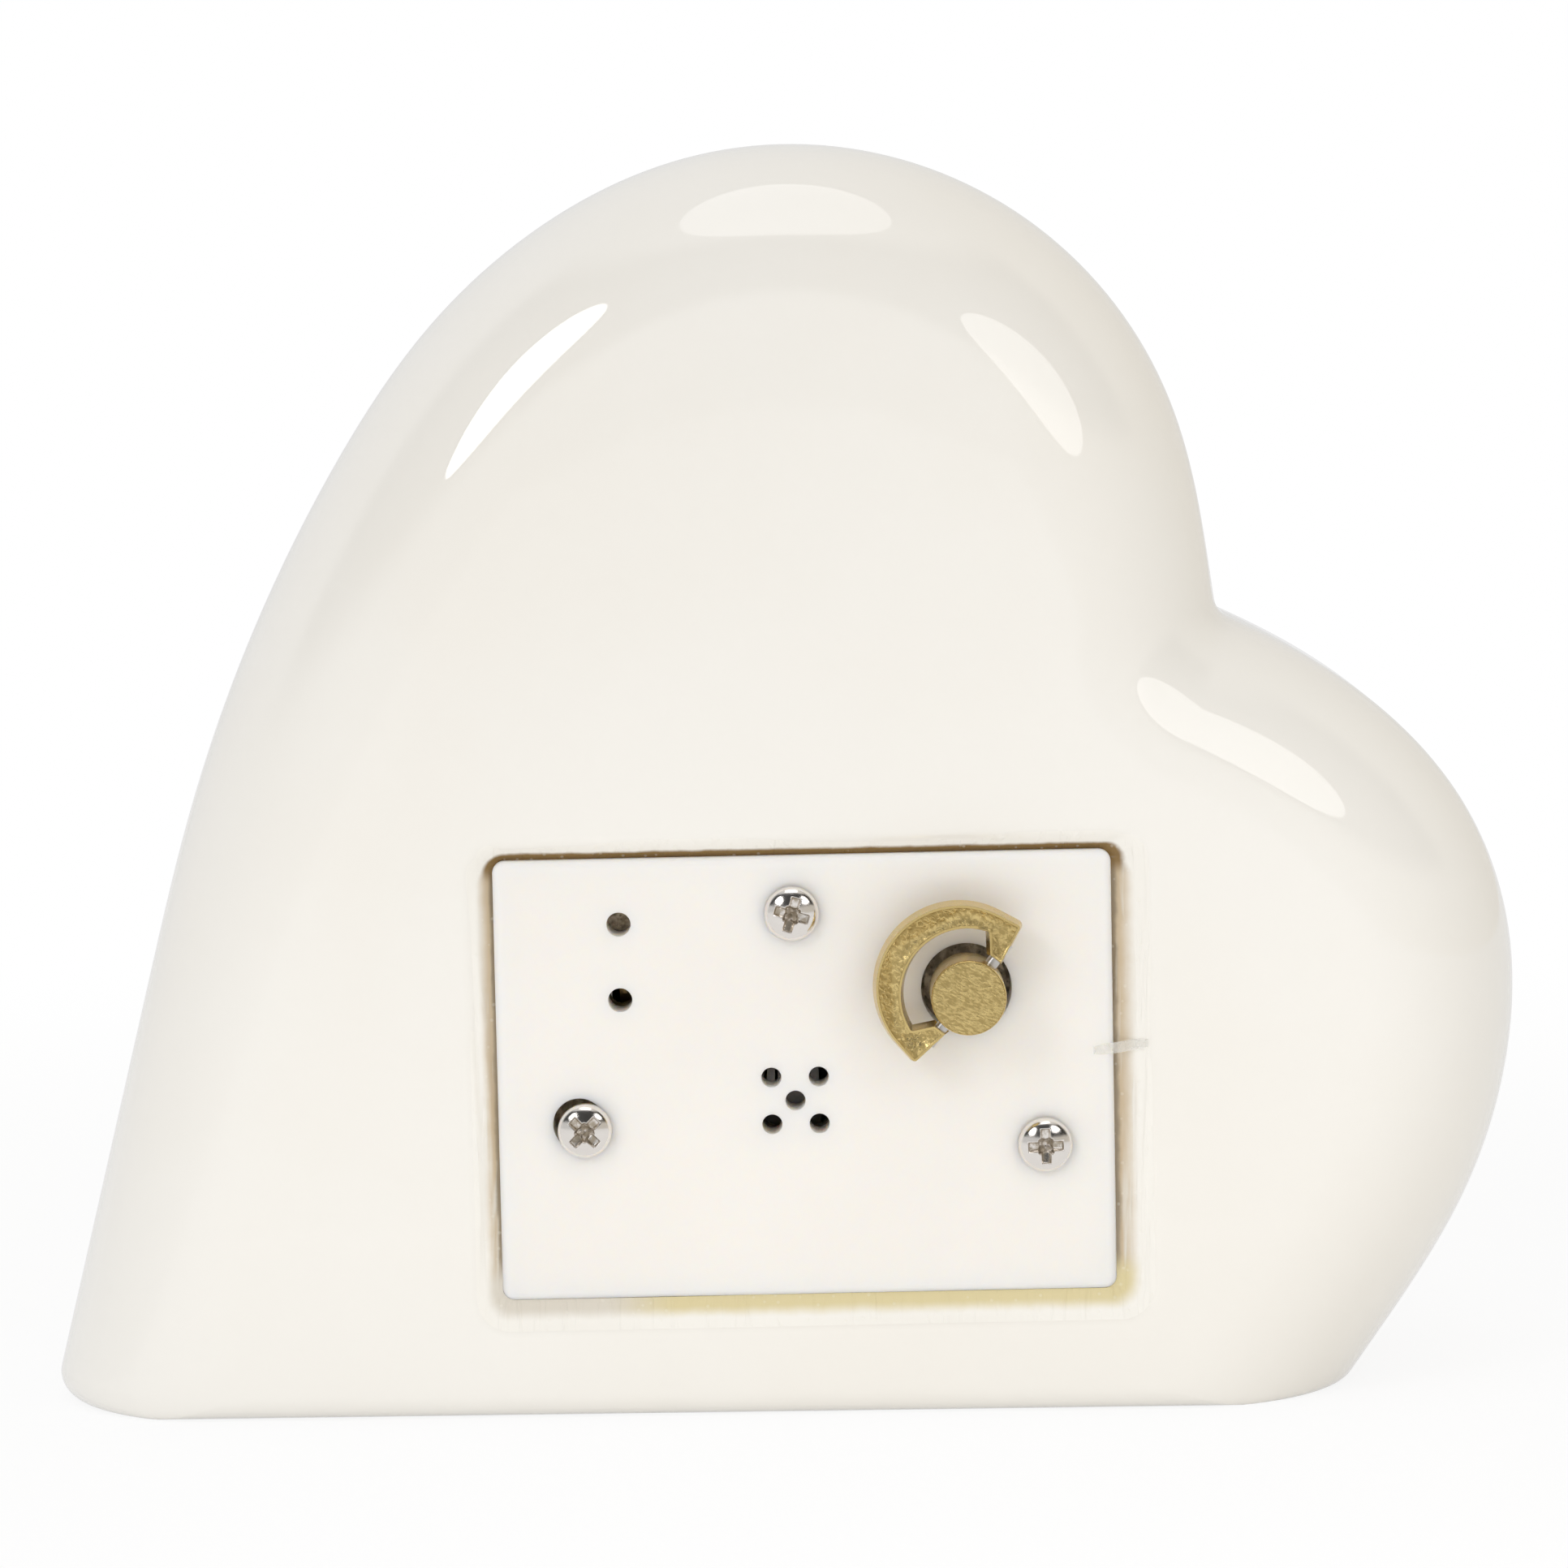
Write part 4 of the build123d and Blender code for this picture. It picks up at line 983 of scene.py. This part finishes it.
# Key
def rounded_copy(node, name, body, material, edge, border):
    """A CAD node's form with its loose triangles merged and its edges rounded. A border wider
    than nothing is left standing round its front, whose field is sunk."""
    same_place, crowded, same_plane, sharp, facing_front = 1e-6, 1e-5, radians(0.5), radians(65), -0.99
    mesh = frame["nodes"][node].data.copy()
    mesh.name = name
    form = bmesh.new()
    form.from_mesh(mesh)
    bmesh.ops.remove_doubles(form, verts=form.verts, dist=same_place)
    bmesh.ops.dissolve_limit(form, angle_limit=same_plane, verts=form.verts, edges=form.edges)
    form.normal_update()
    width, slope, sunk = border
    if width > 0:
        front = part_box(node)[0].y + 1e-5
        field = [face for face in form.faces
                 if face.normal.y < facing_front and face.calc_center_median().y < front]
        bmesh.ops.inset_region(form, faces=field, thickness=width, use_even_offset=True)
        bmesh.ops.inset_region(form, faces=field, thickness=slope, depth=-sunk, use_even_offset=True)
        # The field's corners are so tight that their points crowd together
        bmesh.ops.remove_doubles(form, verts=form.verts, dist=crowded)
    form.to_mesh(mesh)
    form.free()
    piece = make_piece(name, mesh, body, material, 35.0)
    bevel = piece.modifiers.new("edges", "BEVEL")
    bevel.width = edge
    bevel.segments = 3
    bevel.limit_method = "ANGLE"
    bevel.angle_limit = sharp
    bevel.harden_normals = True
    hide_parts(node)


class MUSICBOX_OT_key(bpy.types.Operator):
    """Casts the winding key's hub and bail, and draws its pin"""
    bl_idname = "musicbox.key"
    bl_label = "Winding key"

    def execute(self, context):
        key = context.scene.key_settings
        plain = (0.0, 0.0, 0.0)
        for node, body, edge, border, pebble, lean in (
                ("key_hub", "winder", key.hub_edge, plain, key.hub_pebble, key.leans[0]),
                ("key_bail", "bail", key.bail_edge, key.border, key.bail_pebble, key.leans[1])):
            material = brass_finish(key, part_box(node)[0].y, border[2], pebble, lean)
            rounded_copy(node, f"cast_{node}", body, material, edge, border)
        paint("pin_steel", metal_finish("pin_steel", key.pin, 0.0002, (0.004, 0.0002, 0.004), 0.22, 0.8))
        return {"FINISHED"}


# Movement
class MUSICBOX_OT_movement(bpy.types.Operator):
    """Finishes the movement's castings, steels, brass and nylon"""
    bl_idname = "musicbox.movement"
    bl_label = "Movement"

    def execute(self, context):
        settings = context.scene.movement_settings
        paint("cast_plate", casting_finish(settings))
        paint("nylon", nylon_finish(settings))
        for slot, tone, grain, streak, gloss, dark in (
                ("steel", settings.steel, 0.0002, (0.003, 0.0004, 0.0004), 0.24, 0.72),
                ("spring_steel", settings.spring, 0.0003, (0.0004, 0.006, 0.0004), 0.26, 0.6),
                ("gear_brass", settings.gear_brass, 0.0002, (0.0005, 0.004, 0.0005), 0.22, 0.75)):
            paint(slot, metal_finish(slot, tone, grain, streak, gloss, dark))
        return {"FINISHED"}


# Stage
def add_lamp(name, place, aim, size, power):
    """An oval lamp of a power in watts that faces a point."""
    data = bpy.data.lights.new(name, "AREA")
    data.shape = "ELLIPSE"
    data.size, data.size_y = size
    data.energy = power
    lamp = bpy.data.objects.new(name, data)
    bpy.context.scene.collection.objects.link(lamp)
    lamp.location = place
    lamp.rotation_euler = (Vector(aim) - Vector(place)).to_track_quat("-Z", "Y").to_euler()
    return lamp


def ray_kinds(tree):
    """Whether the room is seen straight on, mirrored, or through something."""
    path = tree.nodes.new("ShaderNodeLightPath")
    return [Flow(tree, path.outputs[f"Is {kind} Ray"]) for kind in ("Camera", "Glossy", "Transmission")]


def floor_finish(tone):
    """A white sweep: seen straight on it glows towards white, mirrored it glows less, and near
    the object it is left plain enough to keep the shadow."""
    material = bpy.data.materials.new("floor")
    material.use_nodes = True
    tree = material.node_tree
    tree.nodes.clear()
    place = Flow(tree, tree.nodes.new("ShaderNodeTexCoord").outputs["Object"])
    away = place.node("ShaderNodeVectorMath", {"operation": "LENGTH"}, {0: place}, "Value")
    camera, glossy, through = ray_kinds(tree)
    seen = camera + glossy + through
    grain = place.noise(0.05, 2.0) * 0.01
    shader = place.node("ShaderNodeBsdfDiffuse", {}, {"Color": grain.between(tone, (1.0, 1.0, 1.0))})
    glow = place.node("ShaderNodeEmission", {},
                      {"Color": (1.0, 1.0, 1.0, 1.0), "Strength": 1 - glossy * 0.18})
    share_white = seen * (0.86 + away.smooth(0.10, 0.35) * 0.14)
    mixed = place.node("ShaderNodeMixShader", {}, {0: share_white, 1: shader, 2: glow})
    tree.links.new(mixed.socket, tree.nodes.new("ShaderNodeOutputMaterial").inputs["Surface"])
    return material


def white_room(world, front_level, back_level, warm):
    """A pale room, warm on its right and white where it is seen straight on. Mirrored, it has a
    dark band over the camera, against which the lights stand out in the glaze."""
    world.use_nodes = True
    tree = world.node_tree
    tree.nodes.clear()
    camera, glossy, through = ray_kinds(tree)
    way = Flow(tree, tree.nodes.new("ShaderNodeTexCoord").outputs["Generated"])
    front = way.axis("Y").smooth(0.6, -0.5)
    side = way.axis("X").smooth(0.9, -0.9) * 0.06 + 0.97
    light = (front * (front_level - back_level) + back_level) * side
    white = camera + through
    up = way.axis("Z")
    dim = up.smooth(0.22, 0.36) * up.smooth(0.88, 0.76) * way.axis("Y").smooth(0.1, -0.15)
    level = white + (1 - white) * light * (1 - glossy * dim * 0.92)
    warmth = way.axis("X").smooth(-0.1, 0.8) * (1 - white)
    back = level.node("ShaderNodeBackground", {},
                      {"Color": warmth.between((1.0, 1.0, 1.0), warm), "Strength": level})
    tree.links.new(back.socket, tree.nodes.new("ShaderNodeOutputWorld").inputs["Surface"])


class MUSICBOX_OT_stage(bpy.types.Operator):
    """Sets the floor, the soft lights and the camera"""
    bl_idname = "musicbox.stage"
    bl_label = "Stage"

    def execute(self, context):
        scene, stage = context.scene, context.scene.stage_settings
        spokes = 72
        radius = np.array((0.2, 0.6, 3.0))[:, None]
        spin = np.arange(spokes) / spokes * 2 * pi
        ring = np.broadcast_arrays(radius * np.cos(spin), radius * np.sin(spin), 0.0)
        points = np.concatenate((np.stack(ring, -1).reshape(-1, 3), np.zeros((1, 3))))
        faces = grid_quads(len(radius), spokes), fan(len(points) - 1, 0, spokes)
        floor = add_object("floor", make_mesh("floor", points, faces), floor_finish(stage.floor))
        scene.world = scene.world or bpy.data.worlds.new("room")
        white_room(scene.world, stage.front_level, stage.back_level, stage.warm)
        aim = Vector(stage.aim)
        for name, offset, size, power in (
                ("left_softbox", (-0.6419, -0.8186, 0.5982), (0.392, 0.450), 2.00),
                ("right_softbox", (0.1316, -0.1686, 0.1090), (0.112, 0.095), 0.045),
                ("overhead", (0.0, -0.18, 0.78), (0.50, 0.60), 0.78)):
            add_lamp(name, aim + Vector(offset), aim, size, power)
        bounce = add_lamp("table_bounce", (0.0, -0.13, 0.007), (0.0, -0.02, 0.02), (0.4, 0.012), 0.038)
        bounce.visible_glossy = False
        data = bpy.data.cameras.new("camera")
        data.lens = stage.lens
        data.sensor_width = 36
        camera = bpy.data.objects.new("camera", data)
        scene.collection.objects.link(camera)
        away = Vector((0, -cos(stage.elevation), sin(stage.elevation))) * stage.distance
        camera.location = aim + away
        rolled = Quaternion((0, 0, 1), -stage.roll)
        camera.rotation_euler = ((-away).to_track_quat("-Z", "Y") @ rolled).to_euler()
        scene.camera = camera
        scene.view_settings.view_transform = "Standard"
        return {"FINISHED"}


class MUSICBOX_PT_panel(bpy.types.Panel):
    """Lists the pieces in the order they are built"""
    bl_idname = "MUSICBOX_PT_panel"
    bl_label = "Music box"
    bl_space_type = "VIEW_3D"
    bl_region_type = "UI"
    bl_category = "Music box"

    def draw(self, context):
        for operator in operators:
            self.layout.operator(operator.bl_idname)
        for name in settings_groups:
            self.layout.label(text=name.replace("_", " ").capitalize())
            group = getattr(context.scene, name)
            for each in group.__annotations__:
                self.layout.prop(group, each)


operators = (MUSICBOX_OT_heart, MUSICBOX_OT_case, MUSICBOX_OT_glue, MUSICBOX_OT_screws,
             MUSICBOX_OT_key, MUSICBOX_OT_movement, MUSICBOX_OT_stage)
settings_groups = {
    "heart_settings": HeartSettings,
    "case_settings": CaseSettings,
    "glue_settings": GlueSettings,
    "screw_settings": ScrewSettings,
    "key_settings": KeySettings,
    "movement_settings": MovementSettings,
    "stage_settings": StageSettings,
}
classes = (*settings_groups.values(), *operators, MUSICBOX_PT_panel)


def register():
    for each in classes:
        bpy.utils.register_class(each)
    for name, group in settings_groups.items():
        setattr(bpy.types.Scene, name, PointerProperty(type=group))


def unregister():
    for name in settings_groups:
        delattr(bpy.types.Scene, name)
    for each in reversed(classes):
        bpy.utils.unregister_class(each)


def main():
    register()
    bpy.ops.musicbox.heart()
    bpy.ops.musicbox.case()
    bpy.ops.musicbox.glue()
    bpy.ops.musicbox.screws()
    bpy.ops.musicbox.key()
    bpy.ops.musicbox.movement()
    bpy.ops.musicbox.stage()


if __name__ == "__main__":
    main()
